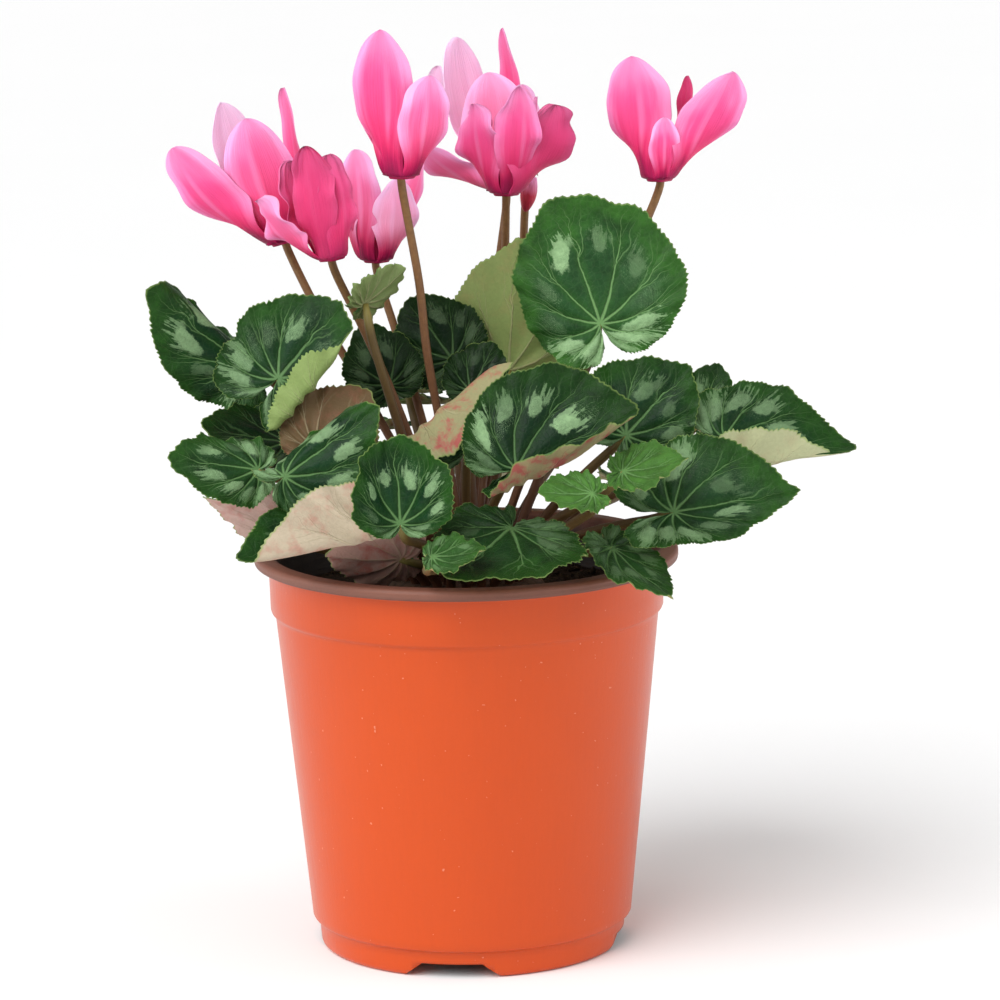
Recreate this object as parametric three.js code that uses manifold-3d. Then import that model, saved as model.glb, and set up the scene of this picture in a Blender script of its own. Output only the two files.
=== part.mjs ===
// A potted cyclamen: a thin-walled round nursery pot, the compost in it, a tuber half sunk in the
// compost, heart-shaped leaves on long stalks, and nodding blooms with five turned-back petals.
// Millimetres, +Z up. The origin is the middle of the pot's foot, on the surface it stands on,
// and the plant is best seen from the front, looking along +Y.
import * as THREE from "three";
import { mergeVertices } from "three/addons/utils/BufferGeometryUtils.js";
import Module from "manifold-3d";

const wasm = await Module();
wasm.setup();

const V = (x, y, z) => new THREE.Vector3(x, y, z);
const DEGREE = Math.PI / 180;

// Corners closer together than this, left where two solids were joined, are closed up.
const SLIVER = 0.03;

// Pot
const POT_HEIGHT = 114;
const RIM_RADIUS = 60;
const RIM_DEPTH = 3.2;
const COLLAR_RADIUS = 55.6;
const COLLAR_DEPTH = 17;
const LEDGE = 1.3;
const WALL_FOOT_RADIUS = 45.6;
const FOOT_RADIUS = 43.4;
const FOOT_HEIGHT = 8.5;
const WALL = 1.3;
const POT_SIDES = 28;
const CHANNEL_HEIGHT = 4.2;
const CHANNEL_TOP = 17;
const CHANNEL_FLARE = 5.5;
const CHANNEL_START = 15;
const CHANNELS = 4;
const CHANNEL_TURN = -98;
const DRAIN_RADIUS = 3.6;
const DRAIN_PLACE = 33;
const DRAIN_SIDES = 12;

// Compost and tuber
const CLEAR = 0.3;
const COMPOST_TOP = 99;
const COMPOST_RELIEF = 1.3;
const TUBER_RADIUS = 24;
const TUBER_TOP = 106;
const TUBER_DEPTH = 26;
const CROWN_RADIUS = 19.5;
const SOCKET_DEPTH = 2.4;
const CROWN_MARGIN = 2.2;
const TUBER_SIDES = 20;

// Leaves
const BLADE_THICK = 0.9;
const STALK_RADIUS = 1.3;
const STALK_SIDES = 5;
const HOLE_SIDES = 5;
const SINUS_HALF = 9;
const BREADTH = 1.16;
const TOOTH_DEPTH = 0.055;

// Blooms
const PETAL_THICK = 0.8;
const TUBE_RADIUS = 3.9;
const TUBE_LENGTH = 5.5;
const THROAT_DEPTH = 2.6;
const CALYX_RADIUS = 2.6;
const STEM_RADIUS = 1.35;
const STEM_OUTSIDE = 7.2;
const TUBE_SIDES = 9;
const BUD_SIDES = 8;
const CALYX_SIDES = 6;
const CALYX_HEIGHT = 1.7;

// A closed geometry as a manifold solid, and back.
function solid(geometry) {
  const bare = geometry.index ? geometry.toNonIndexed() : geometry.clone();
  for (const name of Object.keys(bare.attributes)) {
    if (name !== "position") bare.deleteAttribute(name);
  }
  const merged = mergeVertices(bare, 1e-3);
  return new wasm.Manifold(
    new wasm.Mesh({
      numProp: 3,
      vertProperties: merged.attributes.position.array,
      triVerts: new Uint32Array(merged.index.array),
    }),
  );
}

function geometryOf(shape) {
  const mesh = shape.getMesh();
  const geometry = new THREE.BufferGeometry();
  geometry.setAttribute("position", new THREE.BufferAttribute(mesh.vertProperties, 3));
  geometry.setIndex(new THREE.BufferAttribute(mesh.triVerts, 1));
  return geometry;
}

function meshFrom(points, faces) {
  const geometry = new THREE.BufferGeometry();
  geometry.setAttribute(
    "position",
    new THREE.Float32BufferAttribute(points.flatMap((p) => [p.x, p.y, p.z]), 3),
  );
  geometry.setIndex(faces.flat());
  return geometry;
}

// A curve whose steps fall on its own points, however far apart they are.
class StalkLine extends THREE.CatmullRomCurve3 {
  getPointAt(u, target) {
    return this.getPoint(u, target);
  }
  getTangentAt(u, target) {
    return this.getTangent(u, target);
  }
}

// A tube of a few sides along a smooth line through the points, with a ring at each of them.
function tube(points, radius) {
  const section = new THREE.Shape();
  for (let i = 0; i < STALK_SIDES; i++) {
    const a = (2 * Math.PI * (i + 0.5)) / STALK_SIDES;
    if (i === 0) section.moveTo(radius * Math.cos(a), radius * Math.sin(a));
    else section.lineTo(radius * Math.cos(a), radius * Math.sin(a));
  }
  const extrudePath = new StalkLine(points, false, "centripetal");
  const steps = points.length - 1;
  return new THREE.ExtrudeGeometry(section, { steps, bevelEnabled: false, extrudePath });
}

// Leaf blades.

// Distance from the stalk's joint to the blade's edge, as a share of the blade's length, at an
// angle from the tip: a broad heart with a point and, behind the joint, a cleft between lobes.
function heart(angle, { lobes = 1, point = 0.3 }) {
  const tip = point * Math.exp(-Math.abs(angle) / (18 * DEGREE));
  const cleft = 0.55 * Math.exp(-(((Math.PI - Math.abs(angle)) / (20 * DEGREE)) ** 2));
  const round = (0.5 + 0.17 * Math.cos(angle) + 0.03 * Math.cos(2 * angle)) * ((1 - point) / 0.7);
  const lobe = 1 + (lobes - 1) * Math.max(0, -Math.cos(angle));
  return (round + tip) * lobe * (1 - cleft);
}

// Rolls the part of the blade beyond a line: the line lies `from` blade lengths from the joint,
// on the side `toward` degrees from the tip, and the part past it turns up by `turn` degrees.
const curl = (toward, from, radius, turn) => ({ toward, from, radius, turn });

function curled(p, c, length) {
  const nx = Math.sin(c.toward * DEGREE);
  const ny = Math.cos(c.toward * DEGREE);
  const past = p.x * nx + p.y * ny - c.from * length;
  if (past <= 0) return p;
  const side = Math.sign(c.turn);
  const turned = Math.min(past / c.radius, Math.abs(c.turn) * DEGREE);
  const straight = past - turned * c.radius;
  const lift = p.z * side;
  const along = c.radius * Math.sin(turned) + straight * Math.cos(turned) - lift * Math.sin(turned);
  const rise =
    c.radius * (1 - Math.cos(turned)) + straight * Math.sin(turned) + lift * Math.cos(turned);
  return V(p.x + (along - past) * nx, p.y + (along - past) * ny, rise * side);
}

// The leaf's own axes: across the blade, towards its tip, and out of its upper face.
function leafAxes(leaf) {
  const joint = V(...leaf.joint);
  const along = V(...leaf.tip).sub(joint);
  const length = along.length();
  along.normalize();
  const face = V(...leaf.faces);
  face.addScaledVector(along, -face.dot(along)).normalize();
  const across = V(0, 0, 0).crossVectors(along, face);
  return { joint, along, face, across, length };
}

function bladePoint(leaf, axes, share, angle, reach, offset) {
  const { length } = axes;
  const r = length * reach * share;
  const [left, right] = leaf.halves ?? [1, 1];
  const wave = (leaf.wave ?? 0.03) * length * share ** 2.5;
  const cup = (leaf.cup ?? 0.06) * length * share * share;
  let p = V(
    r * BREADTH * Math.sin(angle) * (angle < 0 ? left : right),
    r * Math.cos(angle),
    offset + cup + wave * Math.sin(5 * angle + (leaf.phase ?? 0)),
  );
  for (const c of leaf.curls ?? []) p = curled(p, c, length);
  return axes.joint
    .clone()
    .addScaledVector(axes.across, p.x)
    .addScaledVector(axes.along, p.y)
    .addScaledVector(axes.face, p.z);
}

// Rings of points round the joint, each with half as many steps as the one outside it, joined
// alike on the upper and lower faces and closed along the edge.
function bladeParts(leaf) {
  const axes = leafAxes(leaf);
  const teeth = leaf.teeth ?? (leaf.curls ? 12 : 10);
  const open = Math.PI - SINUS_HALF * DEGREE;
  const rings = [
    { share: 0.36, steps: teeth / 2 },
    { share: 0.74, steps: teeth },
    { share: 1, steps: 2 * teeth },
  ];
  const face = (offset) => {
    const points = [bladePoint(leaf, axes, 0, 0, 1, offset)];
    for (const ring of rings) {
      ring.first = points.length;
      for (let i = 0; i <= ring.steps; i++) {
        const angle = -open + (2 * open * i) / ring.steps;
        const notch = ring.share === 1 && i % 2 === 0 ? 1 - TOOTH_DEPTH : 1;
        const reach = heart(angle, leaf) * notch;
        points.push(bladePoint(leaf, axes, ring.share, angle, reach, offset));
      }
    }
    return points;
  };
  const top = face(BLADE_THICK / 2);
  const under = face(-BLADE_THICK / 2);
  const faces = [];
  for (let i = 0; i < rings[0].steps; i++) {
    faces.push([0, rings[0].first + i + 1, rings[0].first + i]);
  }
  for (let k = 0; k + 1 < rings.length; k++) {
    const [near, far] = [rings[k].first, rings[k + 1].first];
    for (let i = 0; i < rings[k].steps; i++) {
      faces.push([near + i, far + 2 * i + 1, far + 2 * i]);
      faces.push([near + i, near + i + 1, far + 2 * i + 1]);
      faces.push([near + i + 1, far + 2 * i + 2, far + 2 * i + 1]);
    }
  }
  const edge = [0, rings[0].first, rings[1].first];
  for (let i = 0; i <= rings[2].steps; i++) edge.push(rings[2].first + i);
  edge.push(rings[1].first + rings[1].steps, rings[0].first + rings[0].steps);
  return { top, under, faces, edge };
}

function bladeGeometry({ top, under, faces, edge }) {
  const n = top.length;
  const all = [...faces, ...faces.map(([a, b, c]) => [a + n, c + n, b + n])];
  edge.forEach((a, i) => {
    const b = edge[(i + 1) % edge.length];
    all.push([a, b, b + n], [a, b + n, a + n]);
  });
  return meshFrom([...top, ...under], all);
}

// The leaves: the stalk's joint, the blade's tip, and roughly where the upper face looks.
const LEAVES = [
  {
    name: "leaf_crest_right",
    joint: [38.5, -4, 178],
    tip: [26.5, 4, 215],
    faces: [0.15, -1, 0.3],
    cup: 0.03,
    halves: [0.72, 0.98],
    lobes: 0.75,
    curls: [curl(-90, 0.1, 14, -45)],
    point: 0.12,
  },
  {
    name: "leaf_crest_back",
    joint: [13, 15, 162],
    tip: [16, 11, 203],
    faces: [0.3, 1, 0.3],
    halves: [0.85, 0.85],
    lobes: 0.6,
  },
  {
    name: "leaf_left_high",
    joint: [-61, 0, 167],
    tip: [-90, -6, 191],
    faces: [-0.3, -1, 0.1],
    halves: [0.72, 0.62],
    curls: [curl(90, -0.04, 3.2, -105)],
  },
  {
    name: "leaf_left_fold",
    joint: [-51, -22, 167],
    tip: [-31, -20, 190],
    faces: [-0.2, -1, 0.5],
    lobes: 1.6,
    halves: [1.1, 1.2],
    curls: [curl(90, 0.27, 2.4, 160)],
  },
  {
    name: "leaf_sprig",
    joint: [-27, -12, 186],
    tip: [-14, -8, 196],
    faces: [0, 0.6, 0.8],
    teeth: 8,
  },
  {
    name: "leaf_inner_left",
    joint: [-21, 5.6, 160],
    tip: [-29, 12.6, 178],
    faces: [0.1, -1, 0.6],
  },
  {
    name: "leaf_left_low",
    joint: [-57, -36, 144],
    tip: [-83.5, -40, 149],
    faces: [0, -0.9, 0.6],
    halves: [0.8, 0.7],
    lobes: 0.6,
    curls: [curl(90, 0.05, 8, -60)],
  },
  {
    name: "leaf_left_front",
    joint: [-49, -49, 144.5],
    tip: [-21, -42.5, 163.5],
    faces: [0, -1, 0.3],
    halves: [0.7, 0.85],
    lobes: 0.6,
    curls: [curl(-90, 0.02, 3, -95)],
  },
  {
    name: "leaf_left_shade",
    joint: [-50, -12, 147],
    tip: [-75, -17, 153],
    faces: [0, -0.5, 1],
  },
  {
    name: "leaf_left_under",
    joint: [-41, -29, 149],
    tip: [-24, -21, 165],
    faces: [0.4, 1, 0.1],
  },
  {
    name: "leaf_front_left",
    joint: [-17.7, -60.2, 133.1],
    tip: [-18.8, -54, 157.6],
    faces: [0.1, -1, 0.3],
    lobes: 0.3,
    halves: [0.95, 0.9],
    curls: [curl(90, 0.03, 6, 30), curl(-90, 0.03, 6, 40)],
    point: 0.08,
  },
  {
    name: "leaf_flap",
    joint: [-25.5, -53, 130],
    tip: [-65, -63.5, 123],
    faces: [0, -0.6, 0.8],
    halves: [1.0, 0.75],
    curls: [curl(-90, 0.05, 2.6, 150)],
    teeth: 14,
    via: [-20, -34, 138],
  },
  {
    name: "leaf_pink_left",
    joint: [-47, -16, 121],
    tip: [-74, -27, 134],
    faces: [0.2, 0.9, 0.6],
    lobes: 0.6,
    halves: [0.8, 0.5],
  },
  {
    name: "leaf_pink_low",
    joint: [-18, -34, 118],
    tip: [-41, -39, 119.5],
    faces: [0, 0.8, 0.6],
    teeth: 8,
  },
  {
    name: "leaf_crescent",
    joint: [-9, -75, 126.5],
    tip: [7, -76, 128.5],
    faces: [0, -0.4, 1],
    lobes: 0.5,
    teeth: 8,
  },
  {
    name: "leaf_curled",
    joint: [1, -26, 148],
    tip: [6, -12, 177],
    faces: [0, -1, 0.3],
    halves: [1.6, 0.7],
    curls: [curl(-50, 0.24, 4.2, 150)],
  },
  {
    name: "leaf_centre",
    joint: [14, -52, 146],
    tip: [49, -44, 161],
    faces: [-0.2, -1, 0.4],
    halves: [0.86, 0.62],
    lobes: 0.8,
    curls: [curl(90, 0.04, 4, 90)],
    point: 0.1,
  },
  {
    name: "leaf_rim_front",
    joint: [12, -52, 129.5],
    tip: [-7, -76, 119],
    faces: [0, -0.3, 1],
    halves: [1.5, 0.9],
    lobes: 0.7,
  },
  {
    name: "leaf_lime",
    joint: [43, -57, 145.5],
    tip: [62, -60, 149],
    faces: [-0.1, -0.45, 1],
    lobes: 0.8,
    teeth: 8,
  },
  {
    name: "leaf_lime_small",
    joint: [34, -67, 141.5],
    tip: [18, -70, 142.5],
    faces: [0, -0.5, 1],
    teeth: 8,
  },
  {
    name: "leaf_right_low",
    joint: [57, -46, 132],
    tip: [94, -40, 136.5],
    faces: [-0.1, -1, 0.5],
    halves: [0.95, 0.5],
    lobes: 1.5,
  },
  {
    name: "leaf_right_far",
    joint: [72.5, -18, 147],
    tip: [111, -16, 142],
    faces: [0, -0.8, 0.9],
    halves: [0.88, 1.0],
    curls: [curl(80, 0.22, 2.5, 115)],
  },
  {
    name: "leaf_right_mid",
    joint: [45, -20, 149],
    tip: [65, -10, 168],
    faces: [0.1, -1, 0.4],
    halves: [1.1, 0.9],
  },
  {
    name: "leaf_rim_right",
    joint: [40, -46, 122],
    tip: [57, -58, 108],
    faces: [0.6, -0.5, 0.7],
    halves: [0.8, 0.9],
  },
  {
    name: "leaf_inner_dark",
    joint: [2, -6, 160],
    tip: [10, 0, 174],
    faces: [0, -1, 0.7],
    teeth: 8,
  },
  {
    name: "leaf_back_left",
    joint: [-3, 12, 166],
    tip: [-17, 20, 184],
    faces: [-0.2, -1, 0.4],
  },
  {
    name: "leaf_right_shade",
    joint: [66, 8, 146],
    tip: [73, 16, 164],
    faces: [0.2, -1, 0.5],
    teeth: 8,
  },
  {
    name: "leaf_rear_left",
    joint: [-48, 24, 140],
    tip: [-74, 40, 144],
    faces: [-0.2, 0.3, 1],
    teeth: 8,
  },
  {
    name: "leaf_rear_left_low",
    joint: [-46, 42, 124],
    tip: [-62, 62, 116],
    faces: [-0.3, 0.4, 1],
    teeth: 8,
  },
  {
    name: "leaf_rear_mid_left",
    joint: [-28, 40, 142],
    tip: [-42, 68, 138],
    faces: [-0.1, 0.5, 1],
    teeth: 8,
  },
  {
    name: "leaf_rear_mid",
    joint: [-2, 46, 148],
    tip: [2, 78, 142],
    faces: [0, 0.5, 1],
    teeth: 8,
  },
  {
    name: "leaf_rear_mid_low",
    joint: [10, 56, 126],
    tip: [18, 82, 116],
    faces: [0, 0.6, 1],
    teeth: 8,
  },
  {
    name: "leaf_rear_mid_right",
    joint: [34, 40, 144],
    tip: [50, 66, 140],
    faces: [0.2, 0.5, 1],
    teeth: 8,
  },
  {
    name: "leaf_rear_right",
    joint: [56, 26, 136],
    tip: [84, 38, 135],
    faces: [0.3, 0.2, 1],
    teeth: 8,
  },
  {
    name: "leaf_rear_right_low",
    joint: [50, 48, 123],
    tip: [70, 66, 116],
    faces: [0.3, 0.4, 1],
    teeth: 8,
  },
  {
    name: "leaf_rear_high",
    joint: [-16, 34, 154],
    tip: [-24, 58, 158],
    faces: [-0.1, 0.4, 1],
    teeth: 8,
  },
];

// Blooms.

// A petal: which way it grows from the mouth (0 is right, 90 is back), its lean from upright, its
// length and width, and how far its blade twists about its own length.
const petal = (toward, lean, length, width, twist) => ({ toward, lean, length, width, twist });

// The blooms: the mouth that looks down, the way the bloom stands, a point its stalk passes
// through, and its petals; the stalk hooks over at the back, between the first and last petals.
const BLOOMS = [
  {
    name: "bloom_left",
    mouth: [-50, 14, 200.5],
    up: [-0.3, 0.05, 1],
    via: [-52, 18, 183],
    petals: [
      petal(141, 2, 44.5, 16, 12),
      petal(200, 27, 41, 17, -62),
      petal(275, 3, 38.5, 20, 5),
      petal(335, 0, 26, 13, 40),
      petal(44, 17, 44.5, 13, 20),
    ],
  },
  {
    name: "bloom_left_front",
    mouth: [-36, -10, 199],
    up: [-0.12, 0, 1],
    via: [-32, -4, 186],
    petals: [
      petal(140, 12, 30, 12, 20),
      petal(203, 36, 26, 10, -40),
      petal(250, 3, 34.5, 13, -15),
      petal(302, 0, 31, 12, 25),
      petal(42, -4, 29, 11, 26),
    ],
  },
  {
    name: "bloom_inner_left",
    mouth: [-24, 16, 194.5],
    up: [0, 0, 1],
    via: [-21, 18, 178],
    petals: [
      petal(142, 10, 28, 12, 16),
      petal(180, 6, 30, 12, -30),
      petal(225, 3, 34, 13, -45),
      petal(315, 10, 26, 13, 45),
      petal(38, 24, 33, 13, 15),
    ],
  },
  {
    name: "bloom_tall",
    mouth: [-16, -14, 222],
    up: [0, 0, 1],
    via: [-12, -6, 180],
    petals: [
      petal(138, 8, 36, 14, 20),
      petal(182, 2, 36, 12, -60),
      petal(226, 2.5, 43, 17, -42),
      petal(316, 13, 31, 14.5, 42),
      petal(38, 17, 32.5, 15, 10),
    ],
  },
  {
    name: "bloom_centre_back",
    mouth: [13, 47, 210],
    up: [-0.09, 0, 1],
    via: [8, 70, 165],
    petals: [
      petal(138, 10, 47, 16, 20),
      petal(200, 52, 27, 16, -50),
      petal(262, 5, 37, 21, 0),
      petal(334, 6, 32, 14, 40),
      petal(42, 0, 48, 15, 20),
    ],
  },
  {
    name: "bloom_centre_front",
    mouth: [13, 19, 212.5],
    up: [0, 0, 1],
    via: [19, 67, 165],
    petals: [
      petal(143, 9, 26, 12, 14),
      petal(215, 12, 28.5, 13, -40),
      petal(290, 12, 34, 13, 30),
      petal(335, 23, 29.5, 20, 60),
      petal(40, 15, 29, 12, 25),
    ],
  },
  {
    name: "bloom_right",
    mouth: [56, 10, 217],
    up: [0, 0, 1],
    via: [58, 24, 192],
    petals: [
      petal(142, 3, 28, 9, 12),
      petal(207, 5, 37, 18.5, -60),
      petal(280, 8, 20, 9, 15),
      petal(338, 30, 37, 18, 65),
      petal(36, 11, 30.5, 10, 12),
    ],
  },
];

// The one bud still closed: it hangs from its stalk's hook like a bloom, tip down.
const BUD = {
  name: "bud_centre",
  mouth: [18.5, 31, 205],
  up: [0.2, 0, 1],
  via: [26, 58, 165],
  side: 4.6,
  lift: 5,
  radius: 2.4,
};

// A bloom's own axes: up through its tube, and across.
function bloomAxes(bloom) {
  const up = V(...bloom.up).normalize();
  const right = V(1, 0, 0).addScaledVector(up, -up.x).normalize();
  const back = V(0, 0, 0).crossVectors(up, right);
  const place = (x, y, z) =>
    V(...bloom.mouth).addScaledVector(right, x).addScaledVector(back, y).addScaledVector(up, z);
  return { place };
}

// A petal's middle line turns back round the mouth and then stands up; it is narrow at the mouth,
// widest at about its middle and round at its end, and a little hollow across.
const PETAL_ROWS = [0, 0.09, 0.28, 0.5, 0.78, 1];
const TURN_RADIUS = 2;
const MOUTH_DIP = 0.3;
const PETAL_BOW = 12 * DEGREE;

function petalMiddle(p, share) {
  const lean = p.lean * DEGREE;
  const turn = Math.PI / 2 + MOUTH_DIP - lean - PETAL_BOW;
  const s = share * p.length;
  const turned = Math.min(s / TURN_RADIUS, turn);
  const slope = -MOUTH_DIP + turned;
  const out = TUBE_RADIUS - 1 + TURN_RADIUS * (Math.sin(slope) + Math.sin(MOUTH_DIP));
  const rise = TURN_RADIUS * (Math.cos(MOUTH_DIP) - Math.cos(slope));
  const rest = p.length - turn * TURN_RADIUS;
  const t = Math.max(0, s - turn * TURN_RADIUS) / rest;
  const tilt = lean + PETAL_BOW * (1 - 2 * t);
  const chord = rest / (2 * PETAL_BOW);
  return {
    out: out + chord * (Math.cos(tilt) - Math.cos(lean + PETAL_BOW)),
    rise: rise + chord * (Math.sin(lean + PETAL_BOW) - Math.sin(tilt)),
    slope: t > 0 ? Math.PI / 2 - tilt : slope,
  };
}

function petalWidth(share, width) {
  const opening = 0.34 + 0.66 * THREE.MathUtils.smoothstep(share, 0.06, 0.56);
  const rounding = share < 0.55 ? 1 : Math.sqrt(1 - ((share - 0.55) / 0.455) ** 2.2);
  return (width / 2) * opening * rounding;
}

function petalSolid(bloom, p) {
  const { place } = bloomAxes(bloom);
  const a = p.toward * DEGREE;
  const layer = (side) =>
    PETAL_ROWS.flatMap((share) => {
      const middle = petalMiddle(p, share);
      const half = petalWidth(share, p.width);
      const out = middle.out - (side * PETAL_THICK * Math.sin(middle.slope)) / 2;
      const rise = middle.rise + (side * PETAL_THICK * Math.cos(middle.slope)) / 2;
      const twist = p.twist * DEGREE * THREE.MathUtils.smoothstep(share, 0.15, 0.6);
      return [-1, 0, 1].map((k) => {
        const hollow = k === 0 ? 0 : -0.2 * half * Math.sin(Math.max(0, middle.slope));
        const r = out + hollow + k * half * Math.sin(twist);
        const aside = k * half * Math.cos(twist);
        return place(
          r * Math.cos(a) - aside * Math.sin(a),
          r * Math.sin(a) + aside * Math.cos(a),
          rise,
        );
      });
    });
  const inner = layer(1);
  const outer = layer(-1);
  const n = inner.length;
  const faces = [];
  for (let i = 0; i + 1 < PETAL_ROWS.length; i++) {
    for (let k = 0; k < 2; k++) {
      const [q, r] = [3 * i + k, 3 * i + k + 3];
      faces.push([q, r, r + 1], [q, r + 1, q + 1]);
      faces.push([n + q, n + r + 1, n + r], [n + q, n + q + 1, n + r + 1]);
    }
  }
  const last = PETAL_ROWS.length - 1;
  const edge = [1, 0];
  for (let i = 1; i <= last; i++) edge.push(3 * i);
  edge.push(3 * last + 1);
  for (let i = last; i >= 0; i--) edge.push(3 * i + 2);
  edge.forEach((q, i) => {
    const r = edge[(i + 1) % edge.length];
    faces.push([r, q, q + n], [r, q + n, r + n]);
  });
  let shape = solid(meshFrom([...inner, ...outer], faces));
  if (shape.volume() < 0) {
    shape = solid(meshFrom([...inner, ...outer], faces.map(([q, r, t]) => [q, t, r])));
  }
  return shape;
}

// A closed solid of revolution about a bloom's own axis.
function turned(bloom, profile, sides) {
  const { place } = bloomAxes(bloom);
  const lathe = new THREE.LatheGeometry(profile.map(([r, z]) => new THREE.Vector2(r, z)), sides);
  const position = lathe.getAttribute("position");
  for (let i = 0; i < position.count; i++) {
    const p = place(position.getX(i), position.getZ(i), position.getY(i));
    position.setXYZ(i, p.x, p.y, p.z);
  }
  return oriented(lathe);
}

function oriented(geometry) {
  const shape = solid(geometry);
  if (shape.volume() > 0) return shape;
  const index = geometry.index.array;
  const flipped = [];
  for (let i = 0; i < index.length; i += 3) flipped.push(index[i], index[i + 2], index[i + 1]);
  geometry.setIndex(flipped);
  return solid(geometry);
}

function bloomSolid(bloom) {
  const corolla = turned(
    bloom,
    [
      [0, TUBE_LENGTH],
      [TUBE_RADIUS - 0.9, TUBE_LENGTH],
      [TUBE_RADIUS, TUBE_LENGTH - 1.5],
      [TUBE_RADIUS - 0.2, -0.9],
      [TUBE_RADIUS - 1.9, -0.9],
      [0, THROAT_DEPTH],
    ],
    TUBE_SIDES,
  );
  return wasm.Manifold.union([corolla, ...bloom.petals.map((p) => petalSolid(bloom, p))]);
}

// Stalks.

// Every stalk starts upright in the tuber's crown. The starts are spread over the crown, and the
// stalks' middles are moved apart, and off the other blades, until they pass one another.
const ROUTE_POINTS = 17;
const START_PITCH = 4.3;
const STALK_PITCH = 4.4;
const BLADE_CLEAR = 3.3;
const SPREAD_ROUNDS = 400;
const SETTLE_ROUNDS = 140;
const STALK_PUSH = 0.45;
const BLADE_PUSH = 0.9;
const SMOOTHING = 0.16;
const CLOUD_STEPS = 26;

function bezier(a, b, c, d) {
  const curve = new THREE.CubicBezierCurve3(a, b, c, d);
  return curve.getPoints(ROUTE_POINTS - 1);
}

function spreadStarts(wanted) {
  const starts = wanted.map(([x, y], i) => V(x + 0.01 * i, y - 0.013 * i, 0));
  for (let round = 0; round < SPREAD_ROUNDS; round++) {
    starts.forEach((p, i) => {
      for (let j = 0; j < i; j++) {
        const apart = p.clone().sub(starts[j]);
        const short = START_PITCH - apart.length();
        if (short <= 0) continue;
        apart.setLength(short / 2);
        p.add(apart);
        starts[j].sub(apart);
      }
    });
    for (const p of starts) {
      const limit = CROWN_RADIUS - CROWN_MARGIN;
      if (p.length() > limit) p.setLength(limit);
    }
  }
  return starts;
}

function settle(routes, blades) {
  const pushed = (p, from, least, share) => {
    const apart = p.clone().sub(from);
    const short = least - apart.length();
    if (short > 0) p.add(apart.setLength(short * share));
  };
  for (let round = 0; round < SETTLE_ROUNDS; round++) {
    routes.forEach((route, i) => {
      const last = route.points.length - 1 - route.held;
      for (let k = 2; k <= last; k++) {
        const p = route.points[k];
        for (let j = 0; j < routes.length; j++) {
          if (j === i) continue;
          for (const q of routes[j].points) pushed(p, q, STALK_PITCH, STALK_PUSH);
        }
        for (const blade of blades) {
          if (blade.name === route.name && k > last - 4) continue;
          if (p.distanceTo(blade.centre) > blade.reach) continue;
          for (const q of blade.points) pushed(p, q, BLADE_CLEAR, BLADE_PUSH);
        }
        const mean = route.points[k - 1].clone().add(route.points[k + 1]).multiplyScalar(0.5);
        p.lerp(mean, SMOOTHING);
      }
    });
  }
}

// Points spread over a blade, for keeping stalks off it.
function bladeCloud(leaf) {
  const axes = leafAxes(leaf);
  const open = Math.PI - SINUS_HALF * DEGREE;
  const points = [];
  for (const share of [0.15, 0.35, 0.55, 0.75, 0.9, 1]) {
    for (let i = 0; i <= CLOUD_STEPS; i++) {
      const angle = -open + (2 * open * i) / CLOUD_STEPS;
      points.push(bladePoint(leaf, axes, share, angle, heart(angle, leaf), 0));
    }
  }
  const centre = points.reduce((sum, p) => sum.add(p), V(0, 0, 0)).divideScalar(points.length);
  const reach = Math.max(...points.map((p) => p.distanceTo(centre))) + BLADE_CLEAR;
  return { name: leaf.name, points, centre, reach };
}

const CROWN_START = TUBER_TOP - SOCKET_DEPTH + CLEAR;

function stalkRoutes() {
  const ends = [];
  for (const leaf of LEAVES) {
    const axes = leafAxes(leaf);
    const away = axes.face.clone().multiplyScalar(-0.8).addScaledVector(axes.along, -0.55);
    const via = leaf.via ? V(...leaf.via) : null;
    ends.push({ name: leaf.name, path: [axes.joint], away: away.normalize(), via, centre: 0.3 });
  }
  for (const bloom of [...BLOOMS, BUD]) {
    const { place } = bloomAxes(bloom);
    const side = bloom.side ?? STEM_OUTSIDE;
    const lift = bloom.lift ?? 0;
    const path = [
      place(0, side, -5 + lift),
      place(0, side, 1.5 + lift),
      place(0, side * 0.96, 6.5 + lift),
      place(0, side * 0.74, 10 + lift),
      place(0, side * 0.38, 11.3 + lift),
      place(0, side * 0.09, 10 + lift),
      place(0, 0, TUBE_LENGTH + CLEAR + 0.7 + lift),
    ];
    const away = path[0].clone().sub(path[1]).normalize();
    ends.push({ name: bloom.name, path, away, via: V(...bloom.via), centre: 0.12 });
  }
  const wanted = ends.map(({ path, centre }) => [path[0].x * centre, path[0].y * centre]);
  const starts = spreadStarts(wanted);
  return ends.map(({ name, path, away, via }, i) => {
    const start = V(starts[i].x, starts[i].y, CROWN_START);
    const reach = start.distanceTo(path[0]);
    const rise = start.clone().add(V(0, 0, 0.42 * reach));
    const turn = via ?? path[0].clone().addScaledVector(away, 0.4 * reach);
    const points = bezier(start, rise, turn, path[0]);
    points[1].set(start.x, start.y, points[1].z);
    return { name, points, path, held: 2 };
  });
}

// A stalk's solid: upright in its hole, then through every third point of its settled route.
function stalkSolid(route) {
  const { points, path } = route;
  const low = points[0];
  const line = [low, V(low.x, low.y, TUBER_TOP + 1.2), points[3], points[6], points[9], points[12]];
  if (path.length === 1) line.push(points[14]);
  const radius = path.length > 1 ? STEM_RADIUS : STALK_RADIUS;
  return oriented(tube([...line, ...path], radius));
}

function calyxSolid(bloom) {
  const low = TUBE_LENGTH + CLEAR + (bloom.lift ?? 0);
  const radius = bloom.radius ? bloom.radius * 0.75 : CALYX_RADIUS;
  return turned(
    bloom,
    [
      [0, low],
      [radius, low],
      [radius * 0.5, low + CALYX_HEIGHT],
      [0, low + CALYX_HEIGHT],
    ],
    CALYX_SIDES,
  );
}

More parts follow.
